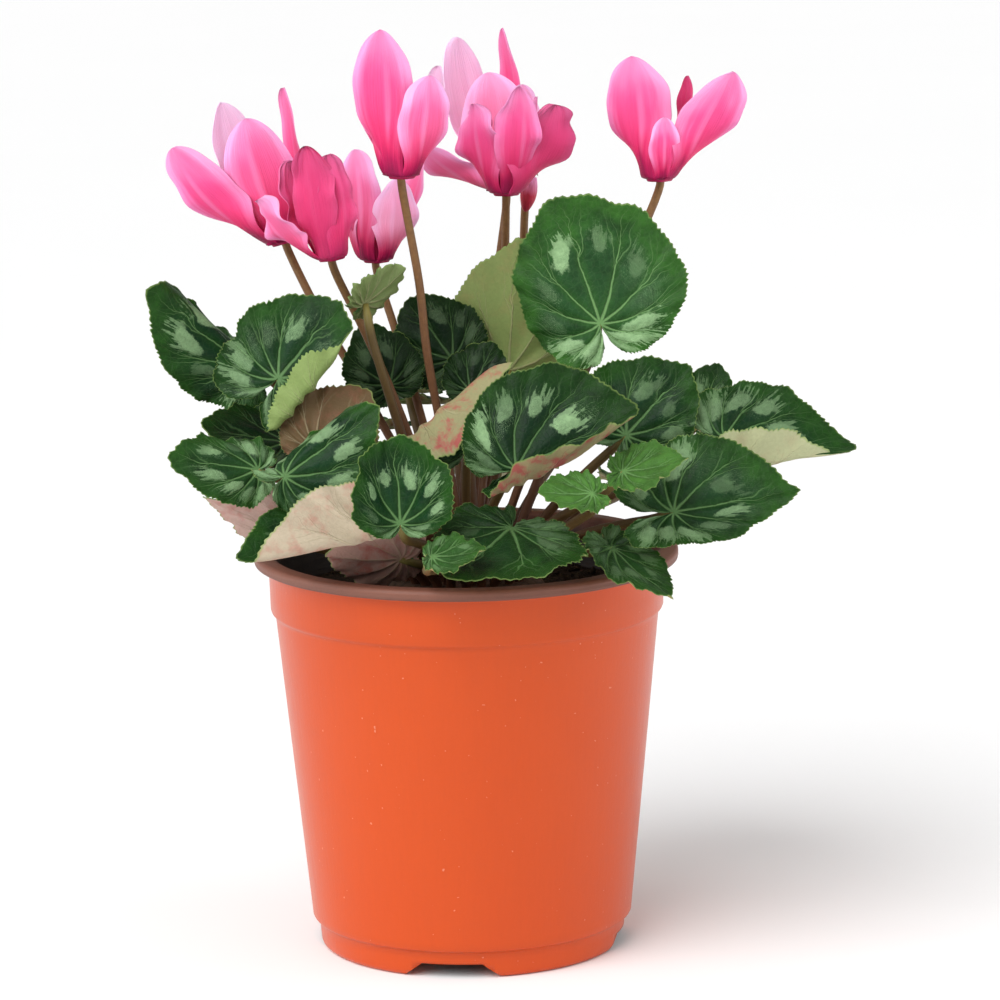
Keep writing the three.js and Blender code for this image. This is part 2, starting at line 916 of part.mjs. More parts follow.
function budSolid(bud) {
  const high = TUBE_LENGTH + bud.lift;
  return turned(
    bud,
    [
      [0, 0],
      [bud.radius * 0.55, 1.2],
      [bud.radius, high * 0.45],
      [bud.radius * 0.9, high * 0.75],
      [bud.radius * 0.6, high],
      [0, high],
    ],
    BUD_SIDES,
  );
}

// Pot, compost and tuber.

// Outside and inside outlines of the thin pot: a turned-out lip at the rim, a straight collar, a
// small ledge, the tapering wall, a ledge at the foot and the foot ring, closed by a flat base.
// The channels' roofs end within the foot ring.
function potSolid() {
  const ledge = POT_HEIGHT - COLLAR_DEPTH;
  const wallTop = COLLAR_RADIUS - LEDGE;
  const outline = [
    [0, 0],
    [FOOT_RADIUS - 1.4, 0],
    [FOOT_RADIUS, 1.6],
    [FOOT_RADIUS + 0.2, FOOT_HEIGHT - 1.3],
    [WALL_FOOT_RADIUS, FOOT_HEIGHT],
    [wallTop, ledge - 0.6],
    [COLLAR_RADIUS, ledge + 0.6],
    [COLLAR_RADIUS + 0.4, POT_HEIGHT - RIM_DEPTH - 0.6],
    [RIM_RADIUS, POT_HEIGHT - RIM_DEPTH],
    [RIM_RADIUS, POT_HEIGHT - 0.6],
    [RIM_RADIUS - 0.8, POT_HEIGHT],
    [COLLAR_RADIUS - WALL + 0.8, POT_HEIGHT],
    [COLLAR_RADIUS - WALL, ledge + 0.8],
    [wallTop - WALL, ledge - 0.5],
    [WALL_FOOT_RADIUS - WALL, FOOT_HEIGHT + 0.6],
    [FOOT_RADIUS - WALL, FOOT_HEIGHT - 0.9],
    [FOOT_RADIUS - WALL - 0.4, WALL],
    [0, WALL],
  ];
  const points = outline.map(([r, z]) => new THREE.Vector2(r, z));
  let shape = oriented(new THREE.LatheGeometry(points, POT_SIDES).rotateX(Math.PI / 2));
  const reach = FOOT_RADIUS - 0.5;
  const footing = new THREE.CylinderGeometry(reach, reach, 4 * CHANNEL_HEIGHT, POT_SIDES);
  const core = solid(footing.rotateX(Math.PI / 2));
  for (let i = 0; i < CHANNELS; i++) {
    const turn = CHANNEL_TURN + (360 / CHANNELS) * i;
    const roof = channel(turn, WALL).intersect(core);
    shape = shape.add(roof).subtract(channel(turn, 0)).subtract(drain(turn));
  }
  return shape;
}

// A raised channel under the base, running out to a notch in the foot ring; it narrows upward.
// With a wall it is the channel's roof, and without one it is the space that is cut away.
function channel(turn, wall) {
  const top = CHANNEL_TOP / 2 + wall * 0.8;
  const low = CHANNEL_TOP / 2 + CHANNEL_FLARE + wall * 0.8;
  const base = wall > 0 ? WALL / 2 : -1;
  const height = CHANNEL_HEIGHT + wall;
  const start = CHANNEL_START - wall;
  const end = wall > 0 ? FOOT_RADIUS - 0.9 : FOOT_RADIUS + 4;
  const slope = (low - top) / CHANNEL_HEIGHT;
  const wide = low - slope * base;
  const section = new THREE.Shape([
    new THREE.Vector2(-wide, base),
    new THREE.Vector2(wide, base),
    new THREE.Vector2(top, height),
    new THREE.Vector2(-top, height),
  ]);
  const prism = new THREE.ExtrudeGeometry(section, { depth: end - start, bevelEnabled: false });
  prism.rotateX(Math.PI / 2).rotateZ(Math.PI / 2).translate(start, 0, 0);
  return oriented(prism).rotate([0, 0, turn]);
}

function drain(turn) {
  const hole = new THREE.CylinderGeometry(DRAIN_RADIUS, DRAIN_RADIUS, 3 * CHANNEL_HEIGHT, DRAIN_SIDES);
  hole.rotateX(Math.PI / 2).translate(DRAIN_PLACE, 0, CHANNEL_HEIGHT);
  return solid(hole).rotate([0, 0, turn]);
}

// The compost fills the pot to below its ledge, hangs clear of the base and the channels, and
// leaves a hollow for the tuber.
function compostSolid() {
  const ledge = POT_HEIGHT - COLLAR_DEPTH;
  const low = CHANNEL_HEIGHT + 2 * WALL + 0.6;
  const gap = WALL + CLEAR;
  const wallTop = COLLAR_RADIUS - LEDGE;
  const outline = [
    [0, low],
    [FOOT_RADIUS - gap - 1.2, low],
    [WALL_FOOT_RADIUS - gap, FOOT_HEIGHT + 2.4],
    [wallTop - gap - 0.1, ledge - 0.2],
    [COLLAR_RADIUS - gap - 0.1, ledge + 1.1],
    [COLLAR_RADIUS - gap - 0.1, COMPOST_TOP],
    [47, COMPOST_TOP + COMPOST_RELIEF],
    [36, COMPOST_TOP + 0.3],
    [TUBER_RADIUS + 2, COMPOST_TOP + COMPOST_RELIEF],
    [0, COMPOST_TOP + COMPOST_RELIEF],
  ];
  const points = outline.map(([r, z]) => new THREE.Vector2(r, z));
  const body = oriented(new THREE.LatheGeometry(points, POT_SIDES).rotateX(Math.PI / 2));
  return body.subtract(tuberBlank(CLEAR));
}

function tuberBlank(grow) {
  const outline = [
    [0, TUBER_TOP - TUBER_DEPTH - grow],
    [TUBER_RADIUS * 0.55 + grow, TUBER_TOP - TUBER_DEPTH + 2 - grow],
    [TUBER_RADIUS * 0.92 + grow, TUBER_TOP - TUBER_DEPTH + 8 - grow],
    [TUBER_RADIUS + grow, TUBER_TOP - 10],
    [TUBER_RADIUS - 1.2 + grow, TUBER_TOP - 3.5],
    [CROWN_RADIUS + 1.8 + grow, TUBER_TOP - 0.9 + grow],
    [CROWN_RADIUS + grow, TUBER_TOP + grow],
    [0, TUBER_TOP + grow],
  ];
  const points = outline.map(([r, z]) => new THREE.Vector2(r, z));
  return oriented(new THREE.LatheGeometry(points, TUBER_SIDES).rotateX(Math.PI / 2));
}

// The tuber, with a plain hole in its crown for each stalk.
function tuberSolid(routes) {
  const holes = routes.map(({ points, path }) => {
    const stalk = path.length > 1 ? STEM_RADIUS : STALK_RADIUS;
    const radius = (stalk + CLEAR) / Math.cos(Math.PI / HOLE_SIDES);
    const hole = new THREE.CylinderGeometry(radius, radius, SOCKET_DEPTH + 2, HOLE_SIDES);
    hole.rotateX(Math.PI / 2).translate(points[0].x, points[0].y, TUBER_TOP + 1 - SOCKET_DEPTH / 2);
    return solid(hole);
  });
  return tuberBlank(0).subtract(wasm.Manifold.union(holes));
}

// The whole plant.

const COLOURS = {
  pot: 0xe8683c,
  compost: 0x2a201a,
  tuber: 0x5a4030,
  leaf: 0x2f5a3e,
  stalk: 0x8a5a3c,
  bloom: 0xf24f9a,
  bud: 0xc8204a,
};

function named(name, shape, colour, roughness = 0.6) {
  const material = new THREE.MeshStandardMaterial({ color: colour, roughness, metalness: 0 });
  const mesh = new THREE.Mesh(geometryOf(shape.asOriginal().simplify(SLIVER)), material);
  mesh.name = name;
  return mesh;
}

const routes = stalkRoutes();
settle(routes, LEAVES.map(bladeCloud));

const plant = new THREE.Group();
plant.name = "potted_cyclamen";
plant.add(named("pot", potSolid(), COLOURS.pot, 0.35));
plant.add(named("compost", compostSolid(), COLOURS.compost, 1));
plant.add(named("tuber", tuberSolid(routes), COLOURS.tuber, 0.9));
for (const leaf of LEAVES) {
  const stalk = stalkSolid(routes.find(({ name }) => name === leaf.name));
  const blade = oriented(bladeGeometry(bladeParts(leaf)));
  plant.add(named(leaf.name, blade.add(stalk), COLOURS.leaf, 0.5));
}
for (const bloom of BLOOMS) {
  const stalk = stalkSolid(routes.find(({ name }) => name === bloom.name));
  plant.add(named(bloom.name, bloomSolid(bloom), COLOURS.bloom, 0.5));
  plant.add(named(`stalk_of_${bloom.name}`, stalk.add(calyxSolid(bloom)), COLOURS.stalk));
}
const budStalk = stalkSolid(routes.find(({ name }) => name === BUD.name));
plant.add(named(BUD.name, budSolid(BUD), COLOURS.bud, 0.5));
plant.add(named(`stalk_of_${BUD.name}`, budStalk.add(calyxSolid(BUD)), COLOURS.stalk));

export default plant;
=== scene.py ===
"""A potted cyclamen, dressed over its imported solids: the pot, compost and tuber, the leaves on
their stalks, and the blooms and the bud on theirs. Sizes in the tables are in millimetres, in the
part's own frame; the objects are in metres."""

import math

import bmesh
import bpy
import numpy as np
from bpy.props import FloatProperty, FloatVectorProperty, IntProperty, PointerProperty
from mathutils import Matrix, Vector


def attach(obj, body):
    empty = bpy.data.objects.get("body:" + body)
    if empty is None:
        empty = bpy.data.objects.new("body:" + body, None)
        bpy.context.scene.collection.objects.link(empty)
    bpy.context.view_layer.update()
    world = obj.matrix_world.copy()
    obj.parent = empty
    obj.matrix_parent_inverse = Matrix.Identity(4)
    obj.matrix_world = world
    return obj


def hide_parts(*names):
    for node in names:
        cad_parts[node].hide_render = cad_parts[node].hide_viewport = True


bl_info = {
    "name": "Potted cyclamen",
    "version": (1, 0, 0),
    "blender": (4, 5, 0),
    "location": "3D View > Sidebar > Cyclamen",
    "description": "Builds a potted cyclamen's leaves, blooms, pot and studio",
    "category": "Add Mesh",
}

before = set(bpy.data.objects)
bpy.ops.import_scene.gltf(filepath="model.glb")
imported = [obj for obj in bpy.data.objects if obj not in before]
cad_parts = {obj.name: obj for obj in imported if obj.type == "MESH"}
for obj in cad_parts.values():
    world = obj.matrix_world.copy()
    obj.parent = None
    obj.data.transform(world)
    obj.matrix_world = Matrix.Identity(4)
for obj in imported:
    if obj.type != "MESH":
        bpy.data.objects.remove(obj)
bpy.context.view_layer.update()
MM = 0.001
BODY = "root"


# Shader maths.


class Wire:
    """A shader value that takes part in Python expressions."""

    def __init__(self, paint, socket):
        self.paint = paint
        self.socket = socket

    def maths(self, operation, *others):
        return self.paint.maths(operation, self, *others)

    def __add__(self, other):
        return self.maths("ADD", other)

    def __sub__(self, other):
        return self.maths("SUBTRACT", other)

    def __rsub__(self, other):
        return self.paint.maths("SUBTRACT", other, self)

    def __mul__(self, other):
        return self.maths("MULTIPLY", other)

    def __truediv__(self, other):
        return self.maths("DIVIDE", other)

    def __pow__(self, other):
        return self.maths("POWER", other)

    def __abs__(self):
        return self.maths("ABSOLUTE")

    __radd__ = __add__
    __rmul__ = __mul__


class Paint:
    """A material whose nodes are written as expressions."""

    def __init__(self, name, constants):
        self.material = bpy.data.materials.new(name)
        self.material.use_nodes = True
        self.tree = self.material.node_tree
        self.shader = self.tree.nodes["Principled BSDF"]
        for socket, value in constants.items():
            self.shader.inputs[socket].default_value = value

    def add(self, kind, settings, sockets, out=0):
        """A node of that kind, its settings first and then its sockets, as the output asked for."""
        node = self.tree.nodes.new(kind)
        for name, value in settings.items():
            if name == "stops":
                ramp = node.color_ramp
                while len(ramp.elements) < len(value):
                    ramp.elements.new(1)
                for element, (position, colour) in zip(ramp.elements, value):
                    element.position = position
                    element.color = (*colour, 1)
            else:
                setattr(node, name, value)
        for key, value in sockets.items():
            if isinstance(value, Wire):
                self.tree.links.new(value.socket, node.inputs[key])
            else:
                node.inputs[key].default_value = value
        return Wire(self, node.outputs[out])

    def maths(self, operation, *values):
        sockets = dict(enumerate(values))
        return self.add("ShaderNodeMath", {"operation": operation}, sockets)

    def attribute(self, name, out="Fac"):
        return self.add("ShaderNodeAttribute", {"attribute_name": name}, {}, out)

    def place(self, stretch=(1, 1, 1)):
        """The point on the object in millimetres, stretched along its axes."""
        spot = self.add("ShaderNodeTexCoord", {}, {}, "Object")
        factors = tuple(k / MM for k in stretch)
        return self.add("ShaderNodeVectorMath", {"operation": "MULTIPLY"}, {0: spot, 1: factors})

    def joined(self, x, y, z=0.0):
        return self.add("ShaderNodeCombineXYZ", {}, {0: x, 1: y, 2: z}, 0)

    def noise(self, vector, scale, detail=2.0, roughness=0.5):
        sockets = {"Vector": vector, "Scale": scale, "Detail": detail, "Roughness": roughness}
        return self.add("ShaderNodeTexNoise", {}, sockets)

    def cells(self, vector, scale):
        """Distance to the nearest edge of a net of cells."""
        sockets = {"Vector": vector, "Scale": scale}
        return self.add("ShaderNodeTexVoronoi", {"feature": "DISTANCE_TO_EDGE"}, sockets)

    def luck(self, number):
        return self.add("ShaderNodeTexWhiteNoise", {"noise_dimensions": "1D"}, {"W": number})

    def rise(self, value, low, high):
        """0 below low, 1 above high, smooth between them."""
        sockets = {"Value": value, "From Min": low, "From Max": high}
        settings = {"data_type": "FLOAT", "interpolation_type": "SMOOTHSTEP"}
        return self.add("ShaderNodeMapRange", settings, sockets)

    def blend(self, factor, first, second):
        """The first colour where the factor is 0, the second where it is 1."""
        sockets = {0: factor, 6: opaque(first), 7: opaque(second)}
        return self.add("ShaderNodeMix", {"data_type": "RGBA"}, sockets, 2)

    def shade(self, colour, factor):
        """A colour made lighter or darker by a factor."""
        grey = self.joined(factor, factor, factor)
        sockets = {0: colour if isinstance(colour, Wire) else colour[:3], 1: grey}
        return self.add("ShaderNodeVectorMath", {"operation": "MULTIPLY"}, sockets)

    def ramp(self, value, stops):
        return self.add("ShaderNodeValToRGB", {"stops": stops}, {"Fac": value})

    def finish(self, base, roughness=None, height=None, depth=0.0):
        """Feeds the colour and, where given, the roughness and bumps of that depth in metres."""
        feeds = {"Base Color": base}
        if roughness is not None:
            feeds["Roughness"] = roughness
        if height is not None:
            sockets = {"Height": height, "Distance": depth, "Strength": 1.0}
            feeds["Normal"] = self.add("ShaderNodeBump", {}, sockets)
        for name, wire in feeds.items():
            self.tree.links.new(wire.socket, self.shader.inputs[name])
        return self.material


def opaque(colour):
    """The colour with an alpha of 1, where it isn't a shader value."""
    return colour if isinstance(colour, Wire) else (*tuple(colour)[:3], 1.0)


# Mesh making.


class Shape:
    """Points in millimetres and faces, gathered piece by piece, with numbers kept at each point."""

    TAGS = ("share", "sweep", "reach", "silver", "lime", "flush", "tone", "pale", "deep", "seed")

    def __init__(self):
        self.points = []
        self.faces = []
        self.looks = []
        self.tags = {tag: [] for tag in self.TAGS}
        self.planes = []
        self.tints = []
        self.count = 0

    def add(self, points, faces, look=0, plane=None, tint=(1, 1, 1), **tags):
        points = np.asarray(points, float).reshape(-1, 3)
        size = len(points)
        self.points.append(points)
        self.faces += [tuple(corner + self.count for corner in face) for face in faces]
        self.looks += [look] * len(faces)
        for tag in self.TAGS:
            value = np.asarray(tags.get(tag, 0.0), float)
            self.tags[tag].append(np.broadcast_to(value, (size,)))
        self.planes.append(points if plane is None else plane)
        self.tints.append(np.tile([*tint, 1.0], (size, 1)))
        self.count += size

    def close(self, top, under, border):
        """Joins the two faces of a sheet along their border."""
        loop = [(a, border[(i + 1) % len(border)]) for i, a in enumerate(border)]
        self.faces += [(top + a, top + b, under + b, under + a) for a, b in loop]
        self.looks += [0] * len(loop)

    def make(self, name, paints, nodes):
        """The object, riding on the part's body and standing for the nodes."""
        mesh = bpy.data.meshes.new(name)
        mesh.from_pydata(np.concatenate(self.points) * MM, [], self.faces)
        for paint in paints:
            mesh.materials.append(paint)
        mesh.polygons.foreach_set("material_index", self.looks)
        mesh.polygons.foreach_set("use_smooth", [True] * len(self.faces))
        for tag, values in self.tags.items():
            layer = mesh.attributes.new(tag, "FLOAT", "POINT")
            layer.data.foreach_set("value", np.concatenate(values).astype(np.float32))
        layer = mesh.attributes.new("plane", "FLOAT_VECTOR", "POINT")
        layer.data.foreach_set("vector", np.concatenate(self.planes).ravel().astype(np.float32))
        layer = mesh.attributes.new("tint", "FLOAT_COLOR", "POINT")
        layer.data.foreach_set("color", np.concatenate(self.tints).ravel().astype(np.float32))
        face_outward(mesh)
        piece = placed(name, mesh)
        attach(piece, BODY)
        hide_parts(*nodes)
        return piece


def face_outward(mesh):
    """Turns the mesh's faces to look out of the solid."""
    work = bmesh.new()
    work.from_mesh(mesh)
    bmesh.ops.recalc_face_normals(work, faces=work.faces)
    work.to_mesh(mesh)
    work.free()


def placed(name, data):
    """A new object in the scene."""
    thing = bpy.data.objects.new(name, data)
    bpy.context.scene.collection.objects.link(thing)
    return thing


def step(value, low, high):
    """0 below low, 1 above high, smooth between them."""
    t = np.clip((np.asarray(value, float) - low) / (high - low), 0, 1)
    return t * t * (3 - 2 * t)


def normalised(vector):
    vector = np.asarray(vector, float)
    return vector / np.linalg.norm(vector)


def strip_faces(first, second, count):
    """Quads between two runs of points with as many steps as each other."""
    return [(first + i, first + i + 1, second + i + 1, second + i) for i in range(count)]


def doubling_faces(first, second, count):
    """Triangles between a run and one with twice as many steps."""
    faces = []
    for i in range(count):
        near, far = first + i, second + 2 * i
        faces += [(near, far + 1, far), (near, near + 1, far + 1), (near + 1, far + 2, far + 1)]
    return faces


def ring_faces(start, rings, sides):
    """Quads between closed rings of points that follow each other."""
    faces = []
    for i in range(rings - 1):
        for k in range(sides):
            near, beside = start + i * sides + k, start + i * sides + (k + 1) % sides
            faces.append((near, beside, beside + sides, near + sides))
    return faces


def swung(out, aside, heading):
    """X and Y of what lies so far out along a heading and so far aside of it."""
    x = out * math.cos(heading) - aside * math.sin(heading)
    y = out * math.sin(heading) + aside * math.cos(heading)
    return x, y


def smooth_line(points, steps):
    """A smooth line through the points, with so many steps between each two."""
    points = np.asarray(points, float)
    padded = np.vstack([2 * points[0] - points[1], points, 2 * points[-1] - points[-2]])
    line = []
    for i in range(len(points) - 1):
        a, b, c, d = padded[i : i + 4]
        for t in np.arange(steps) / steps:
            bent = (2 * a - 5 * b + 4 * c - d) * t * t + (3 * b - a - 3 * c + d) * t**3
            line.append(0.5 * (2 * b + (c - a) * t + bent))
    line.append(points[-1])
    return np.array(line)


def tube(shape, line, radii, sides, look, **tags):
    """A round tube along a line, closed at both ends."""
    along = np.gradient(line, axis=0)
    along /= np.linalg.norm(along, axis=1)[:, None]
    side = np.cross(along[0], [0.3, 1, 0.1])
    turns = 2 * math.pi * np.arange(sides) / sides
    points = []
    for i, centre in enumerate(line):
        side = side - along[i] * np.dot(side, along[i])
        side /= np.linalg.norm(side)
        other = np.cross(along[i], side)
        around = np.outer(np.cos(turns), side) + np.outer(np.sin(turns), other)
        points.append(centre + radii[i] * around)
    faces = ring_faces(0, len(line), sides)
    faces.append(tuple(range(sides)))
    last = (len(line) - 1) * sides
    faces.append(tuple(last + sides - 1 - k for k in range(sides)))
    share = np.repeat(np.linspace(0, 1, len(line)), sides)
    sweep = np.tile(turns, len(line))
    shape.add(np.concatenate(points), faces, look, share=share, sweep=sweep, **tags)


def lathe(shape, profile, sides, look, wobble=None, move=None):
    """A closed solid of revolution about +Z from (radius, height) pairs that start and end at 0.
    The wobble changes a ring's radii, and move puts all the points in their final places."""
    turns = 2 * math.pi * np.arange(sides) / sides
    rings = [[(0, 0, profile[0][1])]]
    for r, z in profile[1:-1]:
        radius = np.full(sides, r) if wobble is None else wobble(r, z, turns)
        rings.append(np.stack([radius * np.cos(turns), radius * np.sin(turns), np.full(sides, z)], 1))
    rings.append([(0, 0, profile[-1][1])])
    steps = len(profile) - 2
    top = 1 + (steps - 1) * sides
    faces = [(0, 1 + (k + 1) % sides, 1 + k) for k in range(sides)]
    faces += ring_faces(1, steps, sides)
    faces += [(top + k, top + (k + 1) % sides, top + sides) for k in range(sides)]
    spread = np.concatenate([[0], np.repeat(np.linspace(0, 1, steps), sides), [1]])
    points = np.concatenate([np.asarray(ring, float) for ring in rings])
    shape.add(points if move is None else move(points), faces, look, share=spread)


# The lines that stalks follow, read from the part's own solids.

CROWN_START = 103.9
CROWN_REACH = 20.0
STALK_SIDES = 5


def stalk_line(node):
    """The middles of a stalk's rings of points, from the tuber up."""
    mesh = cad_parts[node].data
    spots, known = [], {}
    index = []
    for vertex in mesh.vertices:
        key = tuple(round(c / MM, 2) for c in vertex.co)
        if key not in known:
            known[key] = len(spots)
            spots.append(np.array(vertex.co) / MM)
        index.append(known[key])
    near = [set() for _ in spots]
    for edge in mesh.edges:
        a, b = (index[v] for v in edge.vertices)
        near[a].add(b)
        near[b].add(a)
    low = [i for i, p in enumerate(spots) if abs(p[2] - CROWN_START) < 0.05]
    ring = {i for i in low if math.hypot(*spots[i][:2]) < CROWN_REACH}
    seen = set(ring)
    middles = []
    while len(ring) == STALK_SIDES:
        middles.append(np.mean([spots[i] for i in ring], axis=0))
        ring = set().union(*(near[i] for i in ring)) - seen
        seen |= ring
    return middles


# Leaves.

# How every blade is drawn: its breadth, the point, the cleft and the blunt tip, the teeth, the
# waves of the margin, and the furrows along the veins with the raised lanes between them.
BREADTH = 1.16
PLAIN_POINT = 0.3
POINT_SPREAD = math.radians(18)
CLEFT_HALF = math.radians(9)
CLEFT_DEPTH = 0.55
CLEFT_SPREAD = math.radians(20)
BLUNTING = 0.035
BLUNT_SPREAD = math.radians(7)
TOOTH_SHARPNESS = 0.7
TEETH_START = 0.93
WAVE = 0.03
FINE_RUFFLE = 0.4
BROAD_RUFFLE = 0.45
VEIN_LANE = 0.19 * math.pi
VEIN_WIDTH = 1.1
VEIN_HOLLOW = 0.3
LANE_BULGE = 0.3


class Leaf:
    """What the part's own source says of a leaf: its stalk's joint, its blade's tip, roughly where
    the upper face looks, and how the blade is shaped and rolled. Its colours and the number of
    its teeth are told only here."""

    def __init__(self, name, joint, tip, faces, cup=0.06, halves=(1, 1), **form):
        self.name = name
        self.joint = np.array(joint, float)
        along = np.array(tip, float) - self.joint
        self.length = np.linalg.norm(along)
        self.along = along / self.length
        face = np.array(faces, float)
        self.face = normalised(face - self.along * np.dot(face, self.along))
        self.across = np.cross(self.along, self.face)
        self.cup, self.halves = cup, halves
        self.lobes = form.get("lobes", 1.0)
        self.point = form.get("point", PLAIN_POINT)
        self.curls = form.get("curls", ())
        self.silver = form.get("silver", 1.0)
        self.lime = form.get("lime", 0.0)
        self.tone = form.get("tone", 1.0)
        self.flush = form.get("flush", 0.5)
        self.under = form.get("under", (0.33, 0.36, 0.15))
        self.teeth = round(form.get("teeth", 2.75) * self.length)


# What the leaves round the back have in common.
REAR = {"silver": 0.9, "teeth": 2}
# Each leaf's tone scales the colour of its whole upper side. It is partly the leaf's own lighter or
# darker green and partly painted shade: inner_left, inner_dark, back_left and left_shade are
# darkened, and their silver turned down, to stand for the shade deep inside the plant.
LEAVES = [
    Leaf(
        "crest_right", (38.5, -4, 178), (26.5, 4, 215), (0.15, -1, 0.3), cup=0.03,
        halves=(0.72, 0.98), lobes=0.75, point=0.12, curls=((-90, 0.1, 14, -45),), silver=1.05,
        lime=0.1, tone=1.55,
    ),
    Leaf(
        "crest_back", (13, 15, 162), (16, 11, 203), (0.3, 1, 0.3), halves=(0.85, 0.85), lobes=0.6,
        silver=0.4, under=(0.215, 0.285, 0.09), flush=0.12, tone=1.2,
    ),
    Leaf(
        "left_high", (-61, 0, 167), (-90, -6, 191), (-0.3, -1, 0.1), halves=(0.72, 0.62),
        curls=((90, -0.04, 3.2, -105),), silver=0.75, under=(0.30, 0.34, 0.14), flush=0.2, tone=1.0,
    ),
    Leaf(
        "left_fold", (-51, -22, 167), (-31, -20, 190), (-0.2, -1, 0.5), halves=(1.1, 1.2), lobes=1.6,
        curls=((90, 0.27, 2.4, 160),), silver=0.65, under=(0.21, 0.29, 0.09), flush=0.0, tone=0.95,
    ),
    Leaf(
        "sprig", (-27, -12, 186), (-14, -8, 196), (0, 0.6, 0.8), silver=0.2, lime=0.4,
        under=(0.17, 0.23, 0.08), flush=0.0,
    ),
    Leaf("inner_left", (-21, 5.6, 160), (-29, 12.6, 178), (0.1, -1, 0.6), silver=0.2, tone=0.45),
    Leaf(
        "left_low", (-57, -36, 144), (-83.5, -40, 149), (0, -0.9, 0.6), halves=(0.8, 0.7), lobes=0.6,
        curls=((90, 0.05, 8, -60),), silver=0.75, lime=0.08, tone=1.05,
    ),
    Leaf(
        "left_front", (-49, -49, 144.5), (-21, -42.5, 163.5), (0, -1, 0.3), halves=(0.7, 0.85),
        lobes=0.6, curls=((-90, 0.02, 3, -95),), silver=0.7, under=(0.40, 0.42, 0.21), flush=0.25,
        tone=1.05,
    ),
    Leaf("left_shade", (-50, -12, 147), (-75, -17, 153), (0, -0.5, 1), silver=0.2, tone=0.6),
    Leaf(
        "left_under", (-41, -29, 149), (-24, -21, 165), (0.4, 1, 0.1), silver=0.4,
        under=(0.13, 0.082, 0.036), flush=0.2,
    ),
    Leaf(
        "front_left", (-17.7, -60.2, 133.1), (-18.8, -54, 157.6), (0.1, -1, 0.3), halves=(0.95, 0.9),
        lobes=0.3, point=0.08, curls=((90, 0.03, 6, 30), (-90, 0.03, 6, 40)), silver=0.9, tone=1.15,
    ),
    Leaf(
        "flap", (-25.5, -53, 130), (-65, -63.5, 123), (0, -0.6, 0.8), halves=(1, 0.75),
        curls=((-90, 0.05, 2.6, 150),), silver=0.7, under=(0.46, 0.385, 0.28), flush=0.45, tone=1.05,
    ),
    Leaf(
        "pink_left", (-47, -16, 121), (-74, -27, 134), (0.2, 0.9, 0.6), halves=(0.8, 0.5), lobes=0.6,
        silver=0.4, under=(0.50, 0.35, 0.30), flush=0.5,
    ),
    Leaf(
        "pink_low", (-18, -34, 118), (-41, -39, 119.5), (0, 0.8, 0.6), silver=0.3,
        under=(0.48, 0.29, 0.24), flush=0.8,
    ),
    Leaf(
        "crescent", (-9, -75, 126.5), (7, -76, 128.5), (0, -0.4, 1), lobes=0.5, silver=0.3, lime=0.3,
        tone=1.1,
    ),
    Leaf(
        "curled", (1, -26, 148), (6, -12, 177), (0, -1, 0.3), halves=(1.6, 0.7),
        curls=((-50, 0.24, 4.2, 150),), silver=0.4, under=(0.30, 0.285, 0.14), flush=1.2,
    ),
    Leaf(
        "centre", (14, -52, 146), (49, -44, 161), (-0.2, -1, 0.4), halves=(0.86, 0.62), lobes=0.8,
        point=0.1, curls=((90, 0.04, 4, 90),), silver=1.0, under=(0.32, 0.27, 0.14), flush=1.1,
        tone=0.8,
    ),
    Leaf(
        "rim_front", (12, -52, 129.5), (-7, -76, 119), (0, -0.3, 1), halves=(1.5, 0.9), lobes=0.7,
        silver=0.25, lime=0.1, tone=0.85,
    ),
    Leaf(
        "lime", (43, -57, 145.5), (62, -60, 149), (-0.1, -0.45, 1), lobes=0.8, silver=0.0, lime=0.9,
    ),
    Leaf("lime_small", (34, -67, 141.5), (18, -70, 142.5), (0, -0.5, 1), silver=0.0, lime=1.0),
    Leaf(
        "right_low", (57, -46, 132), (94, -40, 136.5), (-0.1, -1, 0.5), halves=(0.95, 0.5),
        lobes=1.5, silver=0.65, lime=0.06, tone=1.0,
    ),
    Leaf(
        "right_far", (72.5, -18, 147), (111, -16, 142), (0, -0.8, 0.9), halves=(0.88, 1),
        curls=((80, 0.22, 2.5, 115),), silver=0.6, under=(0.40, 0.42, 0.24), flush=0.1, tone=0.95,
    ),
    Leaf(
        "right_mid", (45, -20, 149), (65, -10, 168), (0.1, -1, 0.4), halves=(1.1, 0.9), silver=0.4,
        tone=0.95,
    ),
    Leaf(
        "rim_right", (40, -46, 122), (57, -58, 108), (0.6, -0.5, 0.7), halves=(0.8, 0.9), silver=0.3,
        lime=0.15,
    ),
    Leaf("inner_dark", (2, -6, 160), (10, 0, 174), (0, -1, 0.7), silver=0.1, tone=0.4),
    Leaf("back_left", (-3, 12, 166), (-17, 20, 184), (-0.2, -1, 0.4), silver=0.2, tone=0.45),
    Leaf("right_shade", (66, 8, 146), (73, 16, 164), (0.2, -1, 0.5), silver=0.5, tone=0.9),
    Leaf("rear_left", (-48, 24, 140), (-74, 40, 144), (-0.2, 0.3, 1), **REAR),
    Leaf("rear_left_low", (-46, 42, 124), (-62, 62, 116), (-0.3, 0.4, 1), **REAR),
    Leaf("rear_mid_left", (-28, 40, 142), (-42, 68, 138), (-0.1, 0.5, 1), **REAR),
    Leaf("rear_mid", (-2, 46, 148), (2, 78, 142), (0, 0.5, 1), **REAR),
    Leaf("rear_mid_low", (10, 56, 126), (18, 82, 116), (0, 0.6, 1), **REAR),
    Leaf("rear_mid_right", (34, 40, 144), (50, 66, 140), (0.2, 0.5, 1), **REAR),
    Leaf("rear_right", (56, 26, 136), (84, 38, 135), (0.3, 0.2, 1), **REAR),
    Leaf("rear_right_low", (50, 48, 123), (70, 66, 116), (0.3, 0.4, 1), **REAR),
    Leaf("rear_high", (-16, 34, 154), (-24, 58, 158), (-0.1, 0.4, 1), **REAR),
]


